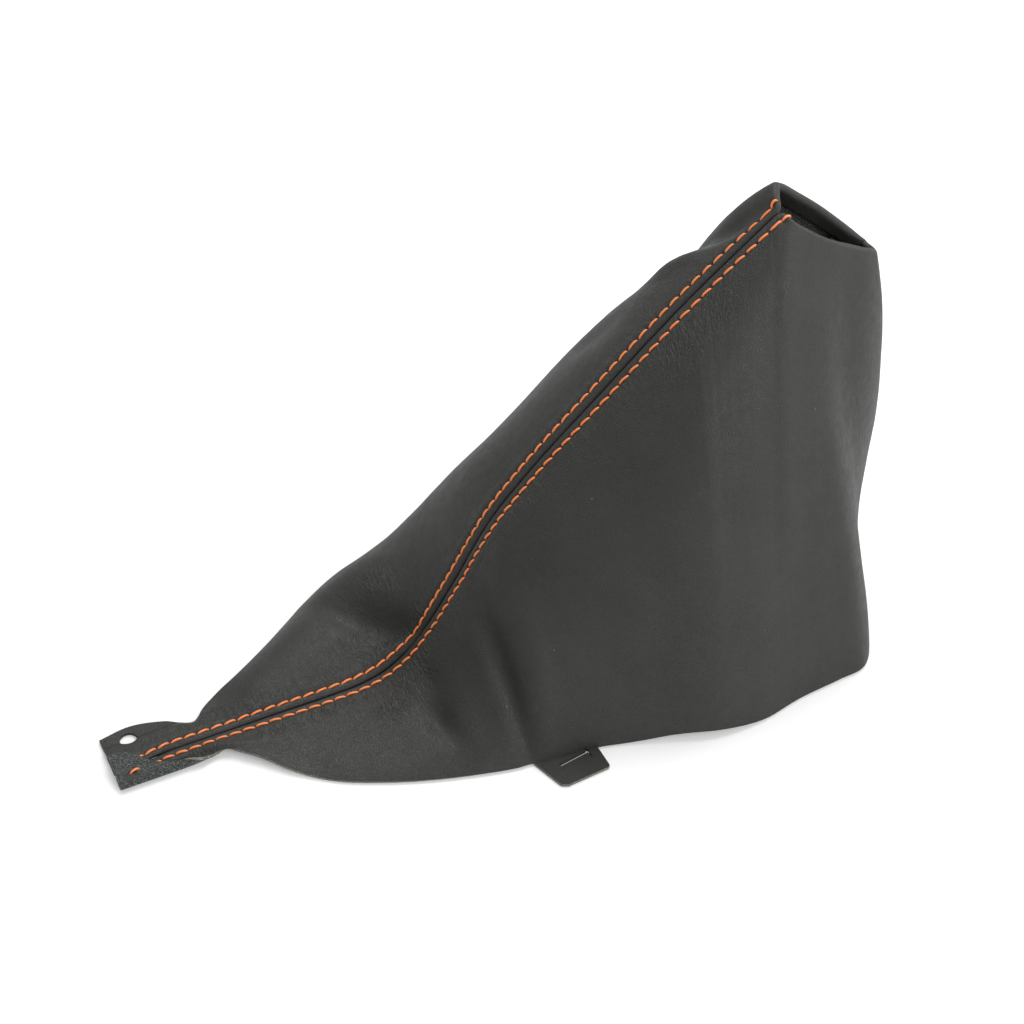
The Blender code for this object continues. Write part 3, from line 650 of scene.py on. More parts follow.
class GrainGroup(ShaderGroup):
    """Fine leather grain: small uneven pebbles parted by creases."""

    name = "leather_grain"
    inputs = (
        ("Vector", "NodeSocketVector", None),
        ("Pebbles per metre", "NodeSocketFloat", 1300.0),
        ("Crease share", "NodeSocketFloat", 0.16),
    )
    outputs = (("Height", "NodeSocketFloat"), ("Creases", "NodeSocketFloat"))
    wanders_per_metre = 500.0
    wander = 0.0012
    fine_per_metre = 3200.0
    broad_per_metre = 420.0
    shares = (0.7, 0.35, 0.9)

    def fill(self, nodes: Nodes, given: object, result: bpy.types.Node) -> None:
        """Makes pebbles of two sizes on coordinates that wander a little."""
        wander = nodes.add(
            "ShaderNodeTexNoise", {"Vector": given["Vector"], "Scale": self.wanders_per_metre, "Detail": 2.0}
        )
        shift = nodes.add(
            "ShaderNodeVectorMath", {0: wander.outputs["Color"], 1: (0.5, 0.5, 0.5)}, operation="SUBTRACT"
        )
        scaled = nodes.add(
            "ShaderNodeVectorMath", {0: shift.outputs[0], "Scale": self.wander}, operation="SCALE"
        )
        place = nodes.add(
            "ShaderNodeVectorMath", {0: given["Vector"], 1: scaled.outputs[0]}, operation="ADD"
        ).outputs[0]
        cells = nodes.add(
            "ShaderNodeTexVoronoi",
            {"Vector": place, "Scale": given["Pebbles per metre"]},
            feature="DISTANCE_TO_EDGE",
        ).outputs["Distance"]
        crease = nodes.span(cells, 0.0, given["Crease share"], 0.0, 1.0, interpolation_type="SMOOTHSTEP")
        fine = nodes.noise(place, self.fine_per_metre, 2.0, 0.6)
        broad = nodes.noise(place, self.broad_per_metre, 2.0, 0.5)
        nodes.put(result.inputs["Height"], nodes.weighed((crease, fine, broad), self.shares))
        nodes.put(result.inputs["Creases"], nodes.math("SUBTRACT", 1.0, crease))


class SpeckGroup(ShaderGroup):
    """Sparse pale specks of dust and open pores."""

    name = "dust_specks"
    inputs = (("Vector", "NodeSocketVector", None), ("Specks per metre", "NodeSocketFloat", 130.0))
    outputs = (("Mask", "NodeSocketFloat"),)
    dot = (0.02, 0.045)
    empty_share = 0.72

    def fill(self, nodes: Nodes, given: object, result: bpy.types.Node) -> None:
        """Keeps a dot in the middle of some cells."""
        cells = nodes.add(
            "ShaderNodeTexVoronoi", {"Vector": given["Vector"], "Scale": given["Specks per metre"]}
        )
        dot = nodes.span(cells.outputs["Distance"], *self.dot, 1.0, 0.0)
        chance = nodes.add("ShaderNodeSeparateColor", {"Color": cells.outputs["Color"]}).outputs[0]
        kept = nodes.math("GREATER_THAN", chance, self.empty_share)
        nodes.put(result.inputs["Mask"], nodes.math("MULTIPLY", dot, kept))


class FibreGroup(ShaderGroup):
    """The short fibres of a leather's flesh side."""

    name = "flesh_fibres"
    inputs = (("Vector", "NodeSocketVector", None), ("Fibres per metre", "NodeSocketFloat", 1900.0))
    outputs = (("Height", "NodeSocketFloat"), ("Pale", "NodeSocketFloat"))
    tufts_per_metre = 1300.0
    broad_per_metre = 160.0
    shares = (0.6, 0.8)
    pale_from = (0.48, 0.66)

    def fill(self, nodes: Nodes, given: object, result: bpy.types.Node) -> None:
        """Mixes two noises into tufts, and a finer one into loose pale ends."""
        tufts = nodes.noise(given["Vector"], self.tufts_per_metre, 4.0, 0.7)
        broad = nodes.noise(given["Vector"], self.broad_per_metre, 3.0, 0.6)
        fine = nodes.noise(given["Vector"], given["Fibres per metre"], 5.0, 0.75)
        nodes.put(result.inputs["Height"], nodes.weighed((tufts, broad), self.shares))
        nodes.put(result.inputs["Pale"], nodes.span(fine, *self.pale_from, 0.0, 1.0))


@dataclass(frozen=True)
class GrainLeather:
    """The dyed and grained outer side of the leather."""

    name: str = "grain_leather"
    dark: tuple = (0.021, 0.021, 0.0195, 1.0)
    light: tuple = (0.029, 0.0285, 0.026, 1.0)
    speck: tuple = (0.17, 0.17, 0.16, 1.0)
    # Painted shade: a slightly darker colour in the grain's creases, where shade falls between the pebbles.
    crease: tuple = (0.02, 0.02, 0.019, 1.0)
    # Painted shade: a near-black colour at the needle holes, where shade falls into the pierced leather.
    hole: tuple = (0.002, 0.002, 0.002, 1.0)
    shares: tuple = (0.35, 0.8, 0.9)
    patches_per_metre: float = 45.0
    roughness: float = 0.5
    roughness_spread: tuple = (-0.05, 0.06)
    shine_per_metre: float = 260.0
    wrinkles_per_metre: float = 420.0
    wrinkle_stretch: tuple = (1.0, 0.42, 1.0)
    wrinkle_width: float = 0.09
    wrinkle_height: float = 3.4
    grain_depth: float = 0.00011

    def material(self) -> bpy.types.Material:
        """The leather's material."""
        material, nodes, shader = principled(self.name, self.dark, self.roughness)
        place = nodes.add("ShaderNodeTexCoord").outputs["Object"]
        grain = GrainGroup().place(nodes, {"Vector": place}).outputs
        specks = SpeckGroup().place(nodes, {"Vector": place}).outputs["Mask"]
        mottle = nodes.span(nodes.noise(place, self.patches_per_metre, 4.0, 0.6), *MIDDLE, 0.0, 1.0)
        colour = nodes.mix(mottle, self.dark, self.light)
        # The crease and needle-hole marks are painted shade; the specks are pale dust.
        shade_and_dust_masks = (grain["Creases"], specks, nodes.attribute("painted_hole_shade"))
        for mask, share, shade_and_dust_colour in zip(shade_and_dust_masks, self.shares, (self.crease, self.speck, self.hole)):
            colour = nodes.mix(nodes.math("MULTIPLY", mask, share), colour, shade_and_dust_colour)
        nodes.put(shader.inputs["Base Color"], colour)
        shine = nodes.noise(place, self.shine_per_metre, 3.0, 0.6)
        rough = nodes.span(shine, *MIDDLE, *(self.roughness + change for change in self.roughness_spread))
        nodes.put(shader.inputs["Roughness"], rough)
        height = nodes.math("ADD", grain["Height"], self._wrinkles(nodes))
        nodes.bump(shader, height, self.grain_depth)
        return material

    def _wrinkles(self, nodes: Nodes) -> bpy.types.NodeSocket:
        """The height of the fine wrinkles, which run down the panel."""
        cut = nodes.attribute("cut", "Vector")
        stretched = nodes.add("ShaderNodeMapping", {"Vector": cut, "Scale": self.wrinkle_stretch}).outputs[0]
        inputs = {"Vector": stretched, "Scale": self.wrinkles_per_metre, "Detail": 3.0, "Distortion": 0.6}
        lines = nodes.add("ShaderNodeTexNoise", inputs).outputs["Fac"]
        folds = nodes.math("ABSOLUTE", nodes.math("SUBTRACT", lines, 0.5))
        folds = nodes.span(folds, 0.0, self.wrinkle_width, 0.0, 1.0)
        folds = nodes.math("MULTIPLY", folds, nodes.attribute("wrinkle"))
        return nodes.math("MULTIPLY", folds, self.wrinkle_height)


@dataclass(frozen=True)
class FleshSide:
    """The rough undyed side of the leather."""

    name: str = "flesh_side"
    colour: tuple = (0.024, 0.029, 0.027, 1.0)
    pale: tuple = (0.25, 0.27, 0.25, 1.0)
    # Painted light: the paler colours that the flesh side takes on higher up, so the shaded inside of the
    # collar looks lit.
    painted_collar_light: tuple = ((0.06, 0.064, 0.06, 1.0), (0.5, 0.52, 0.49, 1.0))
    painted_light_heights: tuple = (0.03, 0.09)
    roughness: float = 0.95
    fibre_depth: float = 0.001
    pale_share: float = 0.75
    sheen: float = 0.15

    def material(self) -> bpy.types.Material:
        """The flesh side's material, with painted light that makes it paler up in the collar than on the
        tail's flap.
        """
        material, nodes, shader = principled(self.name, self.colour, self.roughness)
        place = nodes.add("ShaderNodeTexCoord").outputs["Object"]
        fibres = FibreGroup().place(nodes, {"Vector": place}).outputs
        share = nodes.math("MULTIPLY", fibres["Pale"], self.pale_share)
        colour = nodes.mix(share, self.colour, self.pale)
        # Painted light: the colour turns paler with height, standing in for light that hardly reaches inside
        # the collar.
        height = nodes.add("ShaderNodeSeparateXYZ", {"Vector": place}).outputs["Z"]
        painted_collar_light = nodes.mix(share, *self.painted_collar_light)
        colour = nodes.mix(nodes.span(height, *self.painted_light_heights, 0.0, 1.0), colour, painted_collar_light)
        nodes.put(shader.inputs["Base Color"], colour)
        shader.inputs["Sheen Weight"].default_value = self.sheen
        nodes.bump(shader, fibres["Height"], self.fibre_depth)
        return material


@dataclass(frozen=True)
class SewingThread:
    """Twisted polyester thread."""

    name: str
    colour: tuple
    # Painted shade: the darker colour in the grooves between the thread's plies.
    shade: tuple
    roughness: float = 0.36
    specular: float = 0.6
    shade_share: float = 0.75
    fuzz_per_metre: float = 2600.0
    fuzz_depth: float = 0.00008

    def material(self) -> bpy.types.Material:
        """The thread's material, with painted shade where its plies meet."""
        material, nodes, shader = principled(self.name, self.colour, self.roughness)
        place = nodes.add("ShaderNodeTexCoord").outputs["Object"]
        # Painted shade: the thread turns darker in the grooves where its twisted plies meet.
        ply_groove_shade = nodes.span(nodes.attribute("ply"), 0.0, 0.6, 1.0, 0.0)
        share = nodes.math("MULTIPLY", ply_groove_shade, self.shade_share)
        nodes.put(shader.inputs["Base Color"], nodes.mix(share, self.colour, self.shade))
        shader.inputs["Specular IOR Level"].default_value = self.specular
        nodes.bump(shader, nodes.noise(place, self.fuzz_per_metre, 3.0, 0.7), self.fuzz_depth, 0.8)
        return material


def principled(name: str, colour: tuple, roughness: float) -> tuple:
    """A new material with plain values on its Principled shader.

    Args:
        name: The material's name.
        colour: Its base colour.
        roughness: Its roughness.

    Returns:
        The material, its nodes and its shader.
    """
    material = bpy.data.materials.new(name)
    material.use_nodes = True
    shader = material.node_tree.nodes["Principled BSDF"]
    shader.inputs["Base Color"].default_value = colour
    shader.inputs["Roughness"].default_value = roughness
    return material, Nodes(material.node_tree), shader


def extrude_row(body: bmesh.types.BMesh, row: list, places: np.ndarray) -> list:
    """Extrudes the edges along a row of vertices and puts the new vertices in place.

    Args:
        body: The mesh.
        row: Its vertices in order.
        places: Where each new vertex goes, in millimetres.

    Returns:
        The new vertices, in the row's order.
    """
    edges = [body.edges.get(pair) for pair in zip(row, row[1:])]
    made = bmesh.ops.extrude_edge_only(body, edges=edges)["geom"]
    number = {vert: i for i, vert in enumerate(row)}
    new = [None] * len(row)
    for vert in made:
        if isinstance(vert, bmesh.types.BMVert):
            old = next(e.other_vert(vert) for e in vert.link_edges if e.other_vert(vert) in number)
            new[number[old]] = vert
            vert.co = Vector(places[number[old]])
    return new


def finished_object(name: str, body: bmesh.types.BMesh, materials: list) -> bpy.types.Object:
    """Puts a mesh worked out in millimetres in the part's frame, as a new object.

    Args:
        name: The object's name.
        body: The mesh, which is freed.
        materials: The object's materials.

    Returns:
        The object, at the origin.
    """
    bmesh.ops.translate(body, vec=(-ORIGIN_X, 0.0, 0.0), verts=body.verts)
    bmesh.ops.scale(body, vec=(MM, MM, MM), verts=body.verts)
    mesh = bpy.data.meshes.new(name)
    body.to_mesh(mesh)
    body.free()
    mesh.shade_smooth()
    obj = bpy.data.objects.new(name, mesh)
    bpy.context.scene.collection.objects.link(obj)
    for material in materials:
        mesh.materials.append(material)
    return obj


def applied(obj: bpy.types.Object) -> bpy.types.Object:
    """Makes an object's modifiers part of its mesh."""
    bpy.context.view_layer.update()
    mesh = bpy.data.meshes.new_from_object(obj.evaluated_get(bpy.context.evaluated_depsgraph_get()))
    obj.modifiers.clear()
    obj.data = mesh
    return obj


@dataclass
class SideTab:
    """The slotted tab at a panel's free edge, in millimetres."""

    x: float = 127.3
    width: float = 22.5
    depths: tuple = (13.6, 10.0)
    tapers: tuple = (4.5, 0.0)
    corners: tuple = (1.8, 0.7)
    slit_x: float = 129.4
    slit_length: float = 11.8
    slit_width: float = 1.05
    cut_width: float = 0.5
    cross_out: float = 0.8
    slit_from_root: float = 2.6
    slit_turn_deg: float = 9.0
    cross_length: float = 4.2
    cut_height: float = 6.0
    steps: int = 14

    def grow(self, body: bmesh.types.BMesh, row: list, side: int, ground: float) -> list:
        """Extends the free edge's leather into the tab.

        Args:
            body: The panel's mesh.
            row: The free edge's vertices along the tab.
            side: -1 near, 1 far.
            ground: The height of flat leather.

        Returns:
            The new vertices with their distances from the root.
        """
        found = []
        root = np.array([vert.co for vert in row])
        ends = (root[0, 0], root[-1, 0])
        depth = np.interp(root[:, 0], ends, self.depths)
        far_y = np.interp(root[:, 0], ends, root[[0, -1], 1] + side * np.array(self.depths))
        for step in range(1, self.steps + 1):
            share = step / self.steps
            insets = []
            for reach, taper, corner in zip(self.depths, self.tapers, self.corners):
                past = max(0.0, reach * share - reach + corner)
                insets.append(taper * share + corner - math.sqrt(max(0.0, corner**2 - past**2)))
            places = root.copy()
            places[:, 0] = np.interp(root[:, 0], ends, (ends[0] + insets[0], ends[1] - insets[1]))
            places[:, 1] += share * (far_y - root[:, 1])
            settled = smoothstep(depth * share, 0.0, self.slit_from_root)
            places[:, 2] = ground + (root[:, 2] - ground) * (1 - settled)
            row = extrude_row(body, row, places)
            found += list(zip(row, depth * share))
        return found

    def cutters(self, root_y: float, side: int, ground: float) -> list:
        """The T-shaped slit's two cutters, as boxes of centre, size and turn."""
        y = side * (root_y + self.slit_from_root)
        turn = -side * math.radians(self.slit_turn_deg)
        reach = (self.slit_length - self.slit_width) / 2
        end_y = y + reach * math.sin(turn) + side * self.cross_out
        end = (self.slit_x + reach * math.cos(turn), end_y, ground)
        slit = ((self.slit_x, y, ground), (self.slit_length, self.slit_width, self.cut_height), turn)
        cross = (end, (self.cut_width, self.cross_length, self.cut_height), turn)
        return [slit, cross]


@dataclass
class LeatherPanel:
    """One panel of leather: cut, folded, sewn and lying as a sheet with its thickness."""

    name: str
    shape: PanelShape
    tab: SideTab = field(default_factory=SideTab)
    samples_per_stitch: int = 7
    row_past_seam: float = 4.5
    rim_step: float = 1.2
    beside: float = 9.0
    fine_rows: int = 20
    broad_rows: int = 50
    growth: float = 1.25
    least_ribs: float = 1.6
    fold_rows: int = 8
    allowance_steps: tuple = (0.35, 0.7, 1.0)
    under_rows: int = 8
    groove_depth: float = 0.34
    hole_depth: float = 0.5
    groove_width: float = 0.75
    ridge: tuple = (0.2, 2.2, 1.3)
    crown: tuple = (0.12, 0.45, 0.3)
    pucker: float = 0.16
    pucker_reach: float = 2.6
    pucker_waves: tuple = (0.7, 9.0, 3.0)
    hole_sharpness: int = 5
    row_fade: tuple = (0.5, 1.5)
    calm_edge: float = 0.8
    loose_across: tuple = (2.0, 30.0)
    loose_above: tuple = (1.5, 12.0)
    waves: tuple = ((0.55, 34.0, 5.0), (0.16, 11.0, 9.0))
    rolled: tuple = (2.0, 7.0, 8.0)
    # The length and width of the painted shade around each needle hole.
    hole_shade_spread: tuple = (0.75, 0.6)
    row_wrinkles: tuple = (5.5, 4.0, 0.6)
    wrinkle_patches: tuple = (0.65, 0.7, 13.0, 21.0)
    sharp_deg: float = 50.0
    hole_sides: int = 40
    hole_diameter: float = 6.0
    hole_from_end: float = 9.0
    hole_from_seam: float = 11.2
    punch_depth: float = 5.0

    def __post_init__(self) -> None:
        """Works out where the lines of the mesh stand."""
        self.sewing = self.shape.sewing
        self.holes = self.shape.long_seam.holes(self.shape.seam_end + self.row_past_seam)
        self.lines = self._lines()
        self.across, self.top, self.normals = self._top()

    def _lines(self) -> np.ndarray:
        """Distances along the upper line, with the needle holes among them."""
        shares = np.arange(self.samples_per_stitch) / self.samples_per_stitch
        between = self.holes[:-1, None] + np.diff(self.holes)[:, None] * shares
        first = np.linspace(0.0, self.holes[0], 4)[:-1]
        rest = self.shape.upper.length - self.holes[-1]
        last = np.linspace(self.holes[-1], self.shape.upper.length, round(rest / self.rim_step) + 1)
        lines = np.concatenate([first, between.ravel(), last])
        feet = self.shape.feet(lines)[:, 0]
        self.tab_ends = []
        for x in (self.tab.x - self.tab.width / 2, self.tab.x + self.tab.width / 2):
            nearest = int(np.argmin(np.abs(feet - x)))
            lines[nearest] = np.interp(x, feet, lines)
            self.tab_ends.append(nearest)
        return lines

    def _top(self) -> tuple[np.ndarray, np.ndarray, np.ndarray]:
        """The upper leather's middle surface with its sewn relief, and its normals."""
        lengths = self.shape.lengths(self.shape.ribs(self.lines))
        squeeze = np.minimum(1.0, lengths / (self.least_ribs * self.beside))[:, None]
        near_top = np.linspace(0.0, self.beside, self.fine_rows + 1)[None] * squeeze
        onward = np.linspace(0.0, 1.0, self.broad_rows + 1)[None, 1:] ** self.growth
        onward = near_top[:, -1:] + (lengths[:, None] - near_top[:, -1:]) * onward
        across = np.concatenate([near_top, onward], 1)
        points = self.shape.surface(self.lines, across)
        points = points + self._facing(points) * self.relief(across, points)[..., None]
        return across, points, self._facing(points)

    def _facing(self, points: np.ndarray) -> np.ndarray:
        """The outward normals of a grid of points."""
        return self.shape.sign * unit(np.cross(np.gradient(points, axis=0), np.gradient(points, axis=1)))

    def relief(self, across: np.ndarray, points: np.ndarray) -> np.ndarray:
        """How far the stitches, dents and unevenness move the leather along its normal.

        Args:
            across: Distances down the ribs.
            points: The smooth surface there.

        Returns:
            The heights.
        """
        lines = self.lines[:, None]
        row = self.shape.row_offset(self.lines)[:, None]
        before, after = self.row_fade
        sewn = 1 - smoothstep(self.lines, self.holes[-1] - before, self.holes[-1] + after)[:, None]
        phase = np.interp(self.lines, self.holes, np.arange(len(self.holes)), left=-0.5)[:, None]
        at_hole = (0.5 + 0.5 * np.cos(2 * math.pi * phase)) ** self.hole_sharpness
        off = across - row
        groove = self.groove_depth + (self.hole_depth - self.groove_depth) * at_hole
        height = -groove * np.exp(-((off / self.groove_width) ** 2))
        rise, away, wide = self.ridge
        height = height + rise * np.exp(-(((off - away) / wide) ** 2))
        rise, away, wide = self.crown
        height = height + rise * np.exp(-(((across - row * away) / (row * wide)) ** 2))
        along = np.stack([self.lines, self.lines * 0], -1)
        amount, size, seed = self.pucker_waves
        uneven = 1 + amount * ripple(along, size, seed + self.shape.sign)[:, None]
        fade = np.exp(-np.maximum(off - 1.0, 0.0) / self.pucker_reach) * (off > 0)
        height = height - self.pucker * uneven * at_hole * fade
        height = height * sewn * smoothstep(across, 0.0, self.calm_edge)
        for dent in self.shape.dents:
            height = height + dent.height(lines, across)
        loose = smoothstep(across, *self.loose_across) * smoothstep(points[..., 2], *self.loose_above)
        for amount, size, seed in self.waves:
            height = height + loose * amount * ripple(points, size, seed)
        return height

    def beside_row(self, number: int, places: np.ndarray, grid: np.ndarray) -> np.ndarray:
        """A grid's values at places down one of the lines."""
        return np.stack([np.interp(places, self.across[number], axis) for axis in grid[number].T], -1)

    def _under(self) -> np.ndarray:
        """The folded-under leather and the fold, from its raw edge up to the folded edge."""
        lengths = self.across[:, -1]
        widths = self.shape.under_width(self.lines, lengths)
        clear = self.sewing.thickness / 2 + self.sewing.seam_gap / 2
        before, after, rear = self.rolled
        rolled = smoothstep(self.lines, self.shape.corner_end - before, self.shape.corner_end + after)
        rolled = rolled * (1 - smoothstep(self.lines, self.lines[-1] - rear, self.lines[-1]))
        depths = self.sewing.fold_depth + self.sewing.rim_roll * rolled
        found = []
        for i, distance in enumerate(self.lines):
            depth, radius = depths[i], depths[i] / 2
            places = np.linspace(1.0, 0.0, self.under_rows + 1)[:-1] * widths[i]
            normal = self.beside_row(i, places, self.normals)
            above = self.beside_row(i, places, self.top)
            tangent = self.shape.upper.tangent(distance)
            edge, up = self.top[i, 0], self.normals[i, 0]
            outward = self.shape.sign * unit(np.cross(tangent, up))
            angle = math.pi * (1 - np.arange(self.fold_rows) / self.fold_rows)[:, None]
            fold = edge - up * radius + radius * (np.cos(angle) * up + np.sin(angle) * outward)
            nearest = (self.shape.sign * fold[:, 1]).min()
            fold[:, 1] += self.shape.sign * max(0.0, clear - nearest)
            folded = above - unit(normal) * depth
            folded[:, 2] = np.maximum(folded[:, 2], self.sewing.ground)
            found.append(np.vstack([folded, fold]))
        return np.array(found)

    def sheet(self) -> bmesh.types.BMesh:
        """The panel's middle surface as a mesh in millimetres.

        Returns:
            The mesh, with layers for the place in the cut, the wrinkles and the painted shade at the needle
            holes.
        """
        under = self._under()
        beyond = -np.linspace(1.0, 0.0, under.shape[1], endpoint=False)[None] * (self.sewing.hem + 2.0)
        across = np.concatenate([np.repeat(beyond, len(self.lines), 0), self.across], 1)
        grid = np.concatenate([under, self.top], 1)
        grid = self.shape.curled(grid, np.maximum(across, 0.0))
        rows, columns = grid.shape[:2]
        body = bmesh.new()
        bmesh.ops.create_grid(body, x_segments=rows - 1, y_segments=columns - 1, size=1.0)
        layers = [body.verts.layers.float.new(name) for name in ("along", "across", "wrinkle", "painted_hole_shade")]
        along = np.repeat(self.lines[:, None], columns, 1) * MM
        values = (along, across * MM, self._wrinkle(grid, across), self._hole_shade_amount(across))
        table = np.empty((rows, columns), object)
        for vert in body.verts:
            i = round((vert.co.x + 1) / 2 * (rows - 1))
            j = round((vert.co.y + 1) / 2 * (columns - 1))
            table[i, j] = vert
            vert.co = Vector(grid[i, j])
            for layer, value in zip(layers, values):
                vert[layer] = value[i, j]
        self._grow_tab(body, table, layers)
        self._fold_rear(body, table, grid, layers)
        self._close_rear(body, table, layers)
        body.normal_update()
        if self.shape.sign * table[rows // 2, columns - 10].normal.y < 0:
            bmesh.ops.reverse_faces(body, faces=body.faces)
        return body

    def _hole_shade_amount(self, across: np.ndarray) -> np.ndarray:
        """How much painted shade each place gets from a nearby needle hole, from 0 to 1."""
        gap = np.abs(self.lines[:, None] - self.holes[None]).min(1)[:, None]
        row = self.shape.row_offset(self.lines)[:, None]
        long, wide = self.hole_shade_spread
        return np.exp(-((gap / long) ** 2) - ((across - row) / wide) ** 2)

    def _wrinkle(self, grid: np.ndarray, across: np.ndarray) -> np.ndarray:
        """Where the leather shows fine wrinkles, from 0 to 1."""
        lines = self.lines[:, None]
        away, spread, most = self.row_wrinkles
        beside = np.exp(-(((across - away) / spread) ** 2)) * most
        total = beside * (self.lines < self.holes[-1])[:, None]
        for along, down, long, wide, amount in self.shape.wrinkles:
            total = total + amount * np.exp(-(((lines - along) / long) ** 2) - ((across - down) / wide) ** 2)
        mean, amount, size, seed = self.wrinkle_patches
        patch = mean + amount * ripple(grid, size, seed)
        return np.clip(total * patch, 0.0, 1.0)

    def _grow_tab(self, body: bmesh.types.BMesh, table: np.ndarray, layers: list) -> None:
        """Adds the side tab beyond the free edge."""
        row = list(table[self.tab_ends[0] : self.tab_ends[1] + 1, -1])
        for vert, out in self.tab.grow(body, row, self.shape.sign, self.sewing.ground):
            vert[layers[0]] = row[0][layers[0]] + (vert.co.x - row[0].co.x) * MM
            vert[layers[1]] = row[0][layers[1]] + out * MM

    def _hem_end(self, columns: int) -> int:
        """The first of a line's columns that is below the hem."""
        return int(np.argmax(self.across[-1] > self.sewing.hem)) + columns - self.across.shape[1]

    def _fold_rear(self, body: bmesh.types.BMesh, table: np.ndarray, grid: np.ndarray, layers: list) -> None:
        """Folds the rear seam's allowance in, below the hem."""
        start = self._hem_end(grid.shape[1]) - grid.shape[1]
        row = list(table[-1, start:])
        edge = grid[-1, start:]
        inward = np.array([0.0, self.shape.sign, 0.0])
        up = self.normals[-1, start:]
        up = unit(up - inward * (up @ inward)[:, None])
        radius = self.sewing.fold_depth / 2
        places = []
        for angle in np.linspace(0.0, math.pi, self.fold_rows + 1)[1:]:
            places.append(edge - up * radius + radius * (math.cos(angle) * up - math.sin(angle) * inward))
        places += [self._below_top(start, self.sewing.allowance * share) for share in self.allowance_steps]
        for step, place in enumerate(places):
            row = extrude_row(body, row, place)
            for vert in row:
                vert[layers[0]] = (self.lines[-1] + step) * MM
                vert[layers[1]] = vert.co.z * MM

    def _below_top(self, start: int, reach: float) -> np.ndarray:
        """Places under the heel's leather, a reach away from its seam and a fold's depth down."""
        found = []
        for column in range(start, 0):
            away = self.shape.sign * (self.top[::-1, column, 1] - self.top[-1, column, 1])
            rows = max(2, int(np.argmax(away > 2 * reach)))
            index = np.interp(reach, away[:rows], np.arange(rows))
            low = min(int(index), rows - 2)
            pairs = [grid[::-1][low : low + 2, column] for grid in (self.top, self.normals)]
            spot, up = (pair[0] + (pair[1] - pair[0]) * (index - low) for pair in pairs)
            found.append(spot - unit(up) * self.sewing.fold_depth)
        return np.array(found)

    def _close_rear(self, body: bmesh.types.BMesh, table: np.ndarray, layers: list) -> None:
        """Carries the hem on to the rear seam's middle, above its folded allowance."""
        row = list(table[-1, : self._hem_end(table.shape[1])])
        places = np.array([vert.co for vert in row])
        places[:, 1] = self.shape.sign * self.sewing.seam_gap / 2
        for old, vert in zip(row, extrude_row(body, row, places)):
            vert[layers[0]] = old[layers[0]] + self.sewing.setback * MM
            vert[layers[1]] = old[layers[1]]

    def build(self, finishes: list) -> bpy.types.Object:
        """Makes the panel.

        Args:
            finishes: The materials of its grain side, its flesh side and its raw edges.

        Returns:
            The panel as one object with applied modifiers.
        """
        obj = finished_object(self.name, self.sheet(), finishes)
        self._place_in_cut(obj.data)
        shell = obj.modifiers.new("thickness", "SOLIDIFY")
        shell.thickness = self.sewing.thickness * MM
        shell.offset = 0.0
        shell.material_offset = 1
        shell.material_offset_rim = 2
        cutters = self._cutters()
        for number, cutter in enumerate(cutters):
            hole = obj.modifiers.new(f"hole_{number}", "BOOLEAN")
            hole.operation = "DIFFERENCE"
            hole.solver = "EXACT"
            hole.object = cutter
        applied(obj)
        for cutter in cutters:
            bpy.data.objects.remove(cutter)
        obj.data.set_sharp_from_angle(angle=math.radians(self.sharp_deg))
        return obj

    @staticmethod
    def _place_in_cut(mesh: bpy.types.Mesh) -> None:
        """Joins the two place layers into one vector attribute that the finishes read."""
        size = len(mesh.vertices)
        values = np.zeros((size, 3), np.float32)
        for column, name in enumerate(("along", "across")):
            part = np.zeros(size, np.float32)
            mesh.attributes[name].data.foreach_get("value", part)
            values[:, column] = part
            mesh.attributes.remove(mesh.attributes[name])
        cut = mesh.attributes.new("cut", "FLOAT_VECTOR", "POINT")
        cut.data.foreach_set("vector", values.ravel())

    def _cutters(self) -> list:
        """The cutters of the tail tab's hole and of the side tab's slit."""
        hole_x = self.shape.long_seam.profile[0][0] + self.hole_from_end
        place = np.array([[hole_x, self.shape.sign * self.hole_from_seam, self.sewing.ground]])
        tilt = 0.0
        if self.shape.curl_deg:
            place[0, 2] += self.sewing.fold_depth
            place = self.shape.curled(place, np.array([self.hole_from_seam - self.sewing.setback]))
            tilt = -self.shape.sign * (math.pi - math.radians(self.shape.curl_deg))
        body = bmesh.new()
        bmesh.ops.create_cone(
            body, cap_ends=True, segments=self.hole_sides, depth=self.punch_depth,
            radius1=self.hole_diameter / 2, radius2=self.hole_diameter / 2,
        )
        bmesh.ops.rotate(body, matrix=Euler((tilt, 0.0, 0.0)).to_matrix(), verts=body.verts)
        bmesh.ops.translate(body, vec=Vector(place[0]), verts=body.verts)
        cutters = [finished_object(f"{self.name}_hole_cutter", body, [])]
        root = np.interp(self.tab.slit_x, *self.shape.free_edge.points.T)
        for number, box in enumerate(self.tab.cutters(root, self.shape.sign, self.sewing.ground)):
            centre, size, turn = box
            body = bmesh.new()
            bmesh.ops.create_cube(body, size=1.0)
            bmesh.ops.scale(body, vec=size, verts=body.verts)
            bmesh.ops.rotate(body, matrix=Euler((0.0, 0.0, turn)).to_matrix(), verts=body.verts)
            bmesh.ops.translate(body, vec=centre, verts=body.verts)
            cutters.append(finished_object(f"{self.name}_slit_cutter_{number}", body, []))
        return cutters


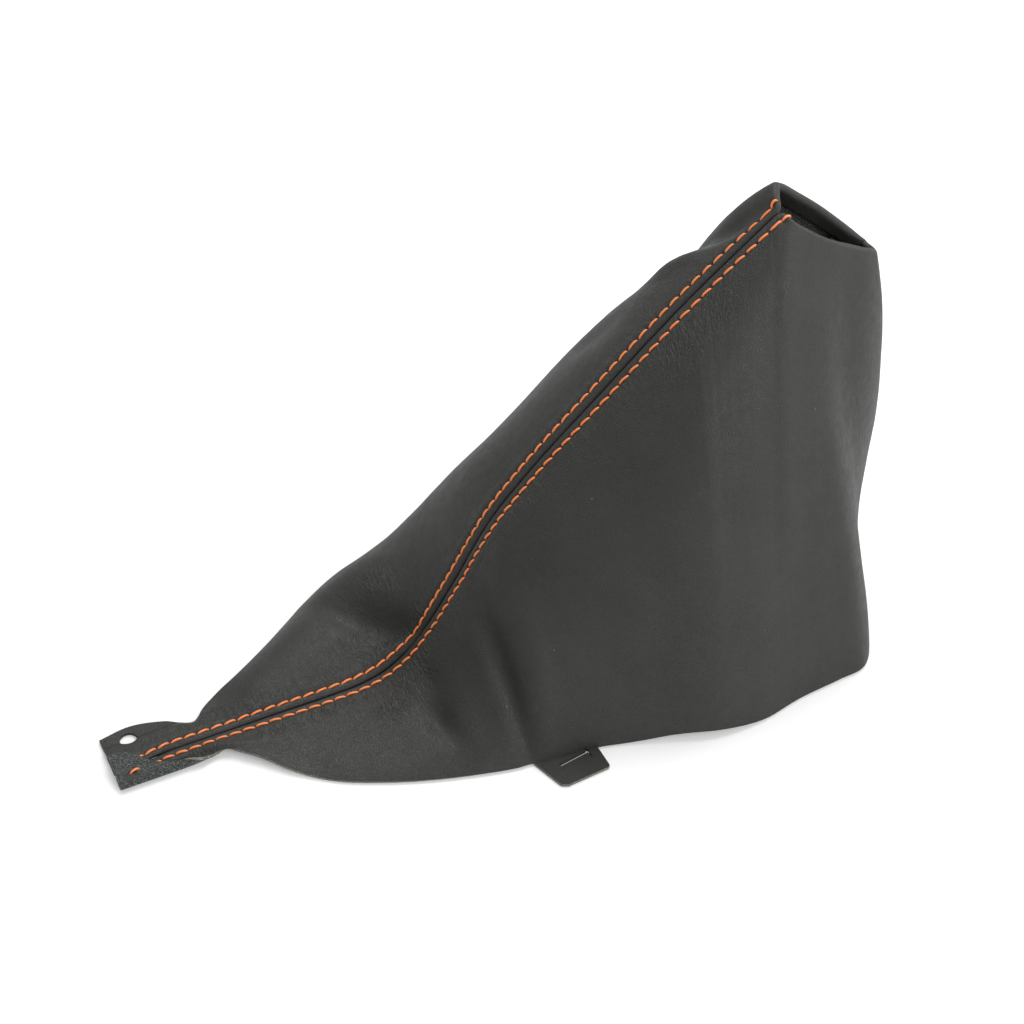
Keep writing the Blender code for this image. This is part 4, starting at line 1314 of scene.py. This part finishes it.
@dataclass
class StitchRow:
    """A row of lockstitch: humped lengths of twisted thread that dive into the leather."""

    name: str
    panel: LeatherPanel
    radius: float = 0.43
    plies: int = 3
    ply_depth: float = 0.07
    twist: float = 2.6
    sides: int = 10
    steps: int = 14
    slant: float = 0.26
    uneven: tuple = ((0.06, 2.3, 0.0), (0.05, 0.71, 1.0))
    lay: tuple = (
        (0.0, -0.9), (0.05, -0.35), (0.12, 0.12), (0.26, 0.36), (0.5, 0.46), (0.74, 0.36), (0.88, 0.12),
        (0.95, -0.35), (1.0, -0.9),
    )
    ends: float = 0.04
    loose_stitch: tuple = ()
    rim_share: float = 0.6
    probe: float = 6.0

    def _line(self, first: float, last: float, number: int) -> tuple[np.ndarray, np.ndarray]:
        """The centreline of one stitch, and the leather's normals along it."""
        shape = self.panel.shape
        shares = np.linspace(0.0, 1.0, self.steps + 1)
        inner = self.ends + (1 - 2 * self.ends) * shares
        distance = first + (last - first) * inner
        uneven = sum(amount * math.sin(number * pace + start) for amount, pace, start in self.uneven)
        row = shape.row_offset(distance) + (self.slant + uneven) * (shares - 0.5) * 2
        places, normals = [], []
        for at, out in zip(distance, row):
            index = float(np.interp(at, self.panel.lines, np.arange(len(self.panel.lines))))
            low = min(int(index), len(self.panel.lines) - 2)
            mix = index - low
            for grid, found in ((self.panel.top, places), (self.panel.normals, normals)):
                pair = [self.panel.beside_row(i, out, grid) for i in (low, low + 1)]
                found.append((1 - mix) * pair[0] + mix * pair[1])
        places, normals = np.array(places), unit(np.mean(normals, axis=0) * np.ones((len(normals), 1)))
        chord = places[0] + (places[-1] - places[0]) * shares[:, None]
        rise = np.interp(shares, *zip(*self.lay)) + self.panel.sewing.thickness / 2
        level = places * 0.5 + chord * 0.5
        return level + normals * rise[:, None], normals

    def build(self, thread: bpy.types.Material, leather: bpy.types.Object) -> bpy.types.Object:
        """Makes the row.

        Args:
            thread: The thread's finish.
            leather: The panel that it is sewn into.

        Returns:
            The row as one object.
        """
        body = bmesh.new()
        ply = body.verts.layers.float.new("ply")
        holes = self.panel.holes
        for number, (first, last) in enumerate(zip(holes, holes[1:])):
            line, normals = self._line(first, last, number)
            self._stitch(body, ply, line, normals, number)
        self._stitch(body, ply, *self._over_rim(line, normals, leather), len(holes))
        if self.loose_stitch:
            self._stitch(body, ply, *self._on_flap(leather), len(holes))
        return finished_object(self.name, body, [thread])

    def _over_rim(self, line: np.ndarray, normals: np.ndarray, leather: bpy.types.Object) -> tuple:
        """The centreline of the short stitch that goes on over the rolled rim, and its normals."""
        origin = np.array([ORIGIN_X, 0.0, 0.0])
        found = []
        for place, normal in zip(line[-1] + (line - line[0]) * self.rim_share, normals):
            start = Vector((place + normal * self.probe - origin) * MM)
            hit, spot, _, _ = leather.ray_cast(start, Vector(-normal))
            found.append(np.array(spot) / MM + origin if hit else place)
        rise = np.interp(np.linspace(0.0, 1.0, len(line)), *zip(*self.lay))
        return np.array(found) + normals * rise[:, None], normals

    def _on_flap(self, leather: bpy.types.Object) -> tuple[np.ndarray, np.ndarray]:
        """The centreline of the one stitch that shows at the tail flap's hole, and its normals."""
        ends = np.array(self.loose_stitch)
        shares = np.linspace(0.0, 1.0, self.steps + 1)[:, None]
        line = np.column_stack([ends[0] + (ends[1] - ends[0]) * shares, np.zeros(self.steps + 1)])
        drop = Vector((0.0, 0.0, -1.0))
        starts = [Vector(((x - ORIGIN_X) * MM, y * MM, 0.02)) for x, y, _ in line]
        tops = [leather.ray_cast(start, drop)[1].z / MM for start in starts]
        line[:, 2] = max(tops) + np.interp(shares[:, 0], *zip(*self.lay))
        return line, np.tile([0.0, 0.0, 1.0], (len(line), 1))

    def _stitch(
        self, body: bmesh.types.BMesh, ply: object, line: np.ndarray, normals: np.ndarray, number: int
    ) -> None:
        """Adds one stitch: a closed tube along its line, with the bulges of its twisted plies."""
        before = len(body.verts)
        made = bmesh.ops.create_cone(
            body, cap_ends=True, segments=self.sides, radius1=1.0, radius2=1.0, depth=1.0
        )["verts"]
        edges = {edge for vert in made for edge in vert.link_edges}
        upright = [edge for edge in edges if abs(edge.verts[0].co.z - edge.verts[1].co.z) > 0.5]
        bmesh.ops.subdivide_edges(body, edges=upright, cuts=self.steps - 1, use_grid_fill=False)
        tangents = unit(np.gradient(line, axis=0))
        across = unit(np.cross(tangents, normals))
        above = np.cross(across, tangents)
        body.verts.ensure_lookup_table()
        for vert in body.verts[before:]:
            share = min(max(vert.co.z + 0.5, 0.0), 1.0)
            i = round(share * self.steps)
            angle = math.atan2(vert.co.y, vert.co.x)
            wave = math.cos(self.plies * (angle - 2 * math.pi * self.twist * share) + number)
            radius = self.radius * (1 - self.ply_depth + self.ply_depth * wave)
            vert[ply] = 0.5 + 0.5 * wave
            offset = across[i] * math.cos(angle) + above[i] * math.sin(angle)
            vert.co = Vector(line[i] + offset * radius)


@dataclass
class Studio:
    """The pale floor, the soft lights and the camera."""

    camera_at: tuple = (-90.0, -472.1, 530.8)
    elevation_deg: float = 42.0
    azimuth_deg: float = -25.5
    lens: float = 73.83
    sensor: float = 36.0
    floor_colour: tuple = (0.86, 0.86, 0.86, 1.0)
    floor_half: float = 3.0
    floor_drop: float = 0.0002
    glow_over: tuple = (0.5, 1.6)
    glow: tuple = (0.22, 1.0)
    world_light: float = 0.4
    lights: tuple = (
        ("key_light", (0.3, 0.55, 1.2), (0.0, 0.0, 0.04), 1.0, 12.5),
        ("front_light", (0.42, -1.05, 0.75), (0.05, 0.0, 0.05), 0.9, 8.8),
        ("right_light", (1.1, 0.0, 0.5), (0.1, 0.0, 0.06), 0.6, 3.4),
    )

    def build(self) -> None:
        """Makes the whole studio."""
        self._camera()
        self._floor()
        self._world()
        for light in self.lights:
            self._softbox(*light)

    def _camera(self) -> None:
        """The camera, at the place from which the photograph was taken."""
        data = bpy.data.cameras.new("camera")
        data.lens = self.lens
        data.sensor_width = self.sensor
        data.clip_start = 0.01
        camera = bpy.data.objects.new("camera", data)
        x, y, z = self.camera_at
        camera.location = ((x - ORIGIN_X) * MM, y * MM, z * MM)
        tilt = math.radians(90 - self.elevation_deg)
        camera.rotation_euler = (tilt, 0.0, math.radians(self.azimuth_deg))
        bpy.context.scene.collection.objects.link(camera)
        bpy.context.scene.camera = camera

    def _floor(self) -> None:
        """A wide floor that looks white and keeps the object's shadow."""
        body = bmesh.new()
        bmesh.ops.create_grid(body, x_segments=1, y_segments=1, size=self.floor_half)
        bmesh.ops.translate(body, vec=(0.0, 0.0, -self.floor_drop), verts=body.verts)
        mesh = bpy.data.meshes.new("floor")
        body.to_mesh(mesh)
        body.free()
        floor = bpy.data.objects.new("floor", mesh)
        bpy.context.scene.collection.objects.link(floor)
        material, nodes, shader = principled("floor_paper", self.floor_colour, 0.9)
        shader.inputs["Specular IOR Level"].default_value = 0.1
        seen = nodes.add("ShaderNodeLightPath").outputs["Is Camera Ray"]
        shader.inputs["Emission Color"].default_value = (1.0, 1.0, 1.0, 1.0)
        place = nodes.add("ShaderNodeNewGeometry").outputs["Position"]
        away = nodes.add("ShaderNodeVectorMath", {"Vector": place}, operation="LENGTH").outputs["Value"]
        glow = nodes.span(away, *self.glow_over, *self.glow)
        nodes.put(shader.inputs["Emission Strength"], nodes.math("MULTIPLY", seen, glow))
        mesh.materials.append(material)

    def _world(self) -> None:
        """An even grey light that the camera sees as white."""
        world = bpy.data.worlds.new("studio")
        bpy.context.scene.world = world
        world.use_nodes = True
        nodes = Nodes(world.node_tree)
        seen = nodes.add("ShaderNodeLightPath").outputs["Is Camera Ray"]
        background = world.node_tree.nodes["Background"]
        background.inputs["Color"].default_value = (1.0, 1.0, 1.0, 1.0)
        nodes.put(background.inputs["Strength"], nodes.span(seen, 0.0, 1.0, self.world_light, 1.0))

    @staticmethod
    def _softbox(name: str, place: tuple, aim: tuple, size: float, power: float) -> None:
        """One square soft light.

        Args:
            name: Its name.
            place: Where it stands, in metres.
            aim: The point that it faces.
            size: The side of the square.
            power: Its power in watts.
        """
        data = bpy.data.lights.new(name, "AREA")
        data.size = size
        data.energy = power
        light = bpy.data.objects.new(name, data)
        light.location = place
        light.rotation_euler = (Vector(aim) - Vector(place)).to_track_quat("-Z", "Y").to_euler()
        bpy.context.scene.collection.objects.link(light)


HEEL_EDGE = (
    (138.0, 59.0), (160.0, 65.5), (179.0, 71.8), (194.0, 72.4), (212.0, 69.0), (229.0, 67.3),
    (239.0, 66.0), (244.8, 60.5), (248.5, 48.0), (252.5, 30.0), (255.0, 0.0),
)

NEAR_SHAPE = PanelShape(
    side=Side.NEAR,
    edge=(
        (-11.5, 22.9), (-6.0, 21.8), (-3.2, 19.8), (-1.0, 17.4), (2.0, 14.6), (6.5, 12.4), (13.0, 11.2),
        (20.5, 8.7), (24.5, 8.3), (31.5, 13.8), (43.5, 26.8), (55.0, 36.0), (66.8, 42.2), (82.0, 48.4),
        (98.0, 53.3), (115.0, 56.9), *HEEL_EDGE,
    ),
    shoulder=((60.0, 0.33), (100.0, 0.5), (135.0, 0.55), (230.0, 0.5)),
    puff=((45.0, 0.0), (75.0, 3.0), (100.0, 3.0), (125.0, 0.0)),
    rim=(
        (0.0, 0.0, 0.0), (2.5, 3.4, -0.8), (9.0, 5.6, -1.4), (18.0, 7.2, -1.5), (30.0, 6.6, -0.8),
        (38.5, 6.0, 0.0), (43.0, 4.2, 0.3), (43.2, 1.6, 0.5), (42.0, 0.0, 0.5),
    ),
    curl_deg=172.0,
    sway_fade=(0.5, 6.2),
    lifts=((10.0, 52.0, 2.4), (144.0, 200.0, 2.6)),
    folds=(
        Dent(109.0, 27.0, 2.0, 15.0, 7.0, 90.0),
        Dent(142.0, 38.0, 2.0, 28.0, 7.0, 98.0),
        Dent(158.0, 40.0, -1.5, 28.0, 9.0, 98.0),
    ),
    dents=(
        Dent(105.0, 30.0, 2.2, 8.0, 5.0, 75.0),
        Dent(114.0, 38.0, -0.6, 9.0, 5.0, 75.0),
        Dent(110.0, 12.0, 0.8, 7.0, 4.0, 80.0),
        Dent(141.0, 34.0, 1.3, 24.0, 6.0, 98.0),
        Dent(152.0, 36.0, -0.8, 26.0, 7.0, 98.0),
    ),
    wrinkles=(
        (268.0, 13.0, 20.0, 9.0, 0.9), (96.0, 16.0, 10.0, 7.0, 0.7), (108.0, 12.0, 8.0, 6.0, 0.7),
        (336.0, 60.0, 12.0, 40.0, 0.5),
    ),
)

FAR_SHAPE = PanelShape(
    side=Side.FAR,
    edge=(
        (-11.5, 15.0), (-0.5, 16.7), (11.0, 14.0), (20.5, 9.2), (24.0, 13.2), (31.5, 18.6), (41.0, 24.0),
        (56.5, 33.8), (74.0, 46.2), (92.0, 55.2), (115.0, 58.5), *HEEL_EDGE,
    ),
    shoulder=(
        (60.0, 0.4), (85.0, 0.72), (120.0, 0.84), (150.0, 0.63), (172.0, 0.6), (190.0, 0.83),
        (207.0, 1.16), (219.0, 0.88), (230.0, 0.48),
    ),
    puff=(
        (45.0, 0.0), (62.0, 4.0), (77.0, 19.0), (90.0, 24.0), (104.0, 20.0), (118.0, 11.0),
        (132.0, 0.0),
    ),
    rim=(
        (0.0, 0.0, 0.0), (-0.4, 4.8, 2.6), (1.0, 9.0, 4.5), (5.0, 10.2, 4.8), (12.0, 9.0, 4.4),
        (21.5, 7.1, 3.6), (32.0, 4.1, 2.2), (42.0, 0.0, 0.5),
    ),
    folds=(Dent(101.0, 18.0, 2.6, 22.0, 7.5, -50.0), Dent(112.0, 33.0, -1.8, 20.0, 8.0, -50.0)),
    dents=(
        Dent(104.0, 14.5, 2.4, 22.0, 5.0, -50.0),
        Dent(112.0, 22.0, -1.0, 20.0, 5.5, -50.0),
        Dent(245.0, 28.0, 1.4, 14.0, 12.0, 0.0),
        Dent(286.0, 26.0, -2.4, 9.0, 9.0, 0.0),
        Dent(301.0, 16.0, 2.2, 7.0, 8.0, 0.0),
    ),
    wrinkles=(
        (272.0, 22.0, 18.0, 9.0, 0.9), (112.0, 26.0, 14.0, 10.0, 0.8), (118.0, 4.0, 6.0, 5.0, 0.9),
        (92.0, 14.0, 10.0, 6.0, 0.6),
    ),
)


def main() -> None:
    """Builds the sleeve's pieces, its finishes and the studio."""
    logging.basicConfig(level=logging.INFO, format="%(name)s: %(message)s")
    edge = FleshSide("cut_edge", (0.12, 0.125, 0.105, 1.0), (0.5, 0.5, 0.43, 1.0), pale_share=0.8)
    finishes = [finish.material() for finish in (GrainLeather(), FleshSide(), edge)]
    orange = SewingThread("orange_thread", (1.0, 0.3, 0.075, 1.0), (0.72, 0.1, 0.02, 1.0)).material()
    black = SewingThread("black_thread", (0.012, 0.012, 0.012, 1.0), (0.004, 0.004, 0.004, 1.0)).material()
    near = LeatherPanel(
        "near_leather", NEAR_SHAPE,
        hole_diameter=4.8, hole_from_end=4.8, hole_from_seam=11.3, punch_depth=1.9,
    )
    far = LeatherPanel("far_leather", FAR_SHAPE, tab=SideTab(depths=(10.8, 8.0)))
    for word, panel, loose in (("near", near, ((-6.9, -5.8), (-3.6, -5.1))), ("far", far, ())):
        leather = panel.build(finishes)
        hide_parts(f"{word}_panel")
        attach(leather, "root")
        LOG.info("%s: %d faces", leather.name, len(leather.data.polygons))
        row = StitchRow(f"{word}_topstitch", panel, loose_stitch=loose).build(orange, leather)
        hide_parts(f"topstitch_{word}")
        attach(row, "root")
        LOG.info("%s: %d faces", row.name, len(row.data.polygons))
    for name in ("long_seam_thread", "rear_seam_thread"):
        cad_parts[name].data.materials.clear()
        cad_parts[name].data.materials.append(black)
        LOG.info("%s: %d faces", name, len(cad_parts[name].data.polygons))
    Studio().build()
    bpy.context.scene.view_settings.view_transform = "Standard"
    bpy.context.view_layer.update()


if __name__ == "__main__":
    main()
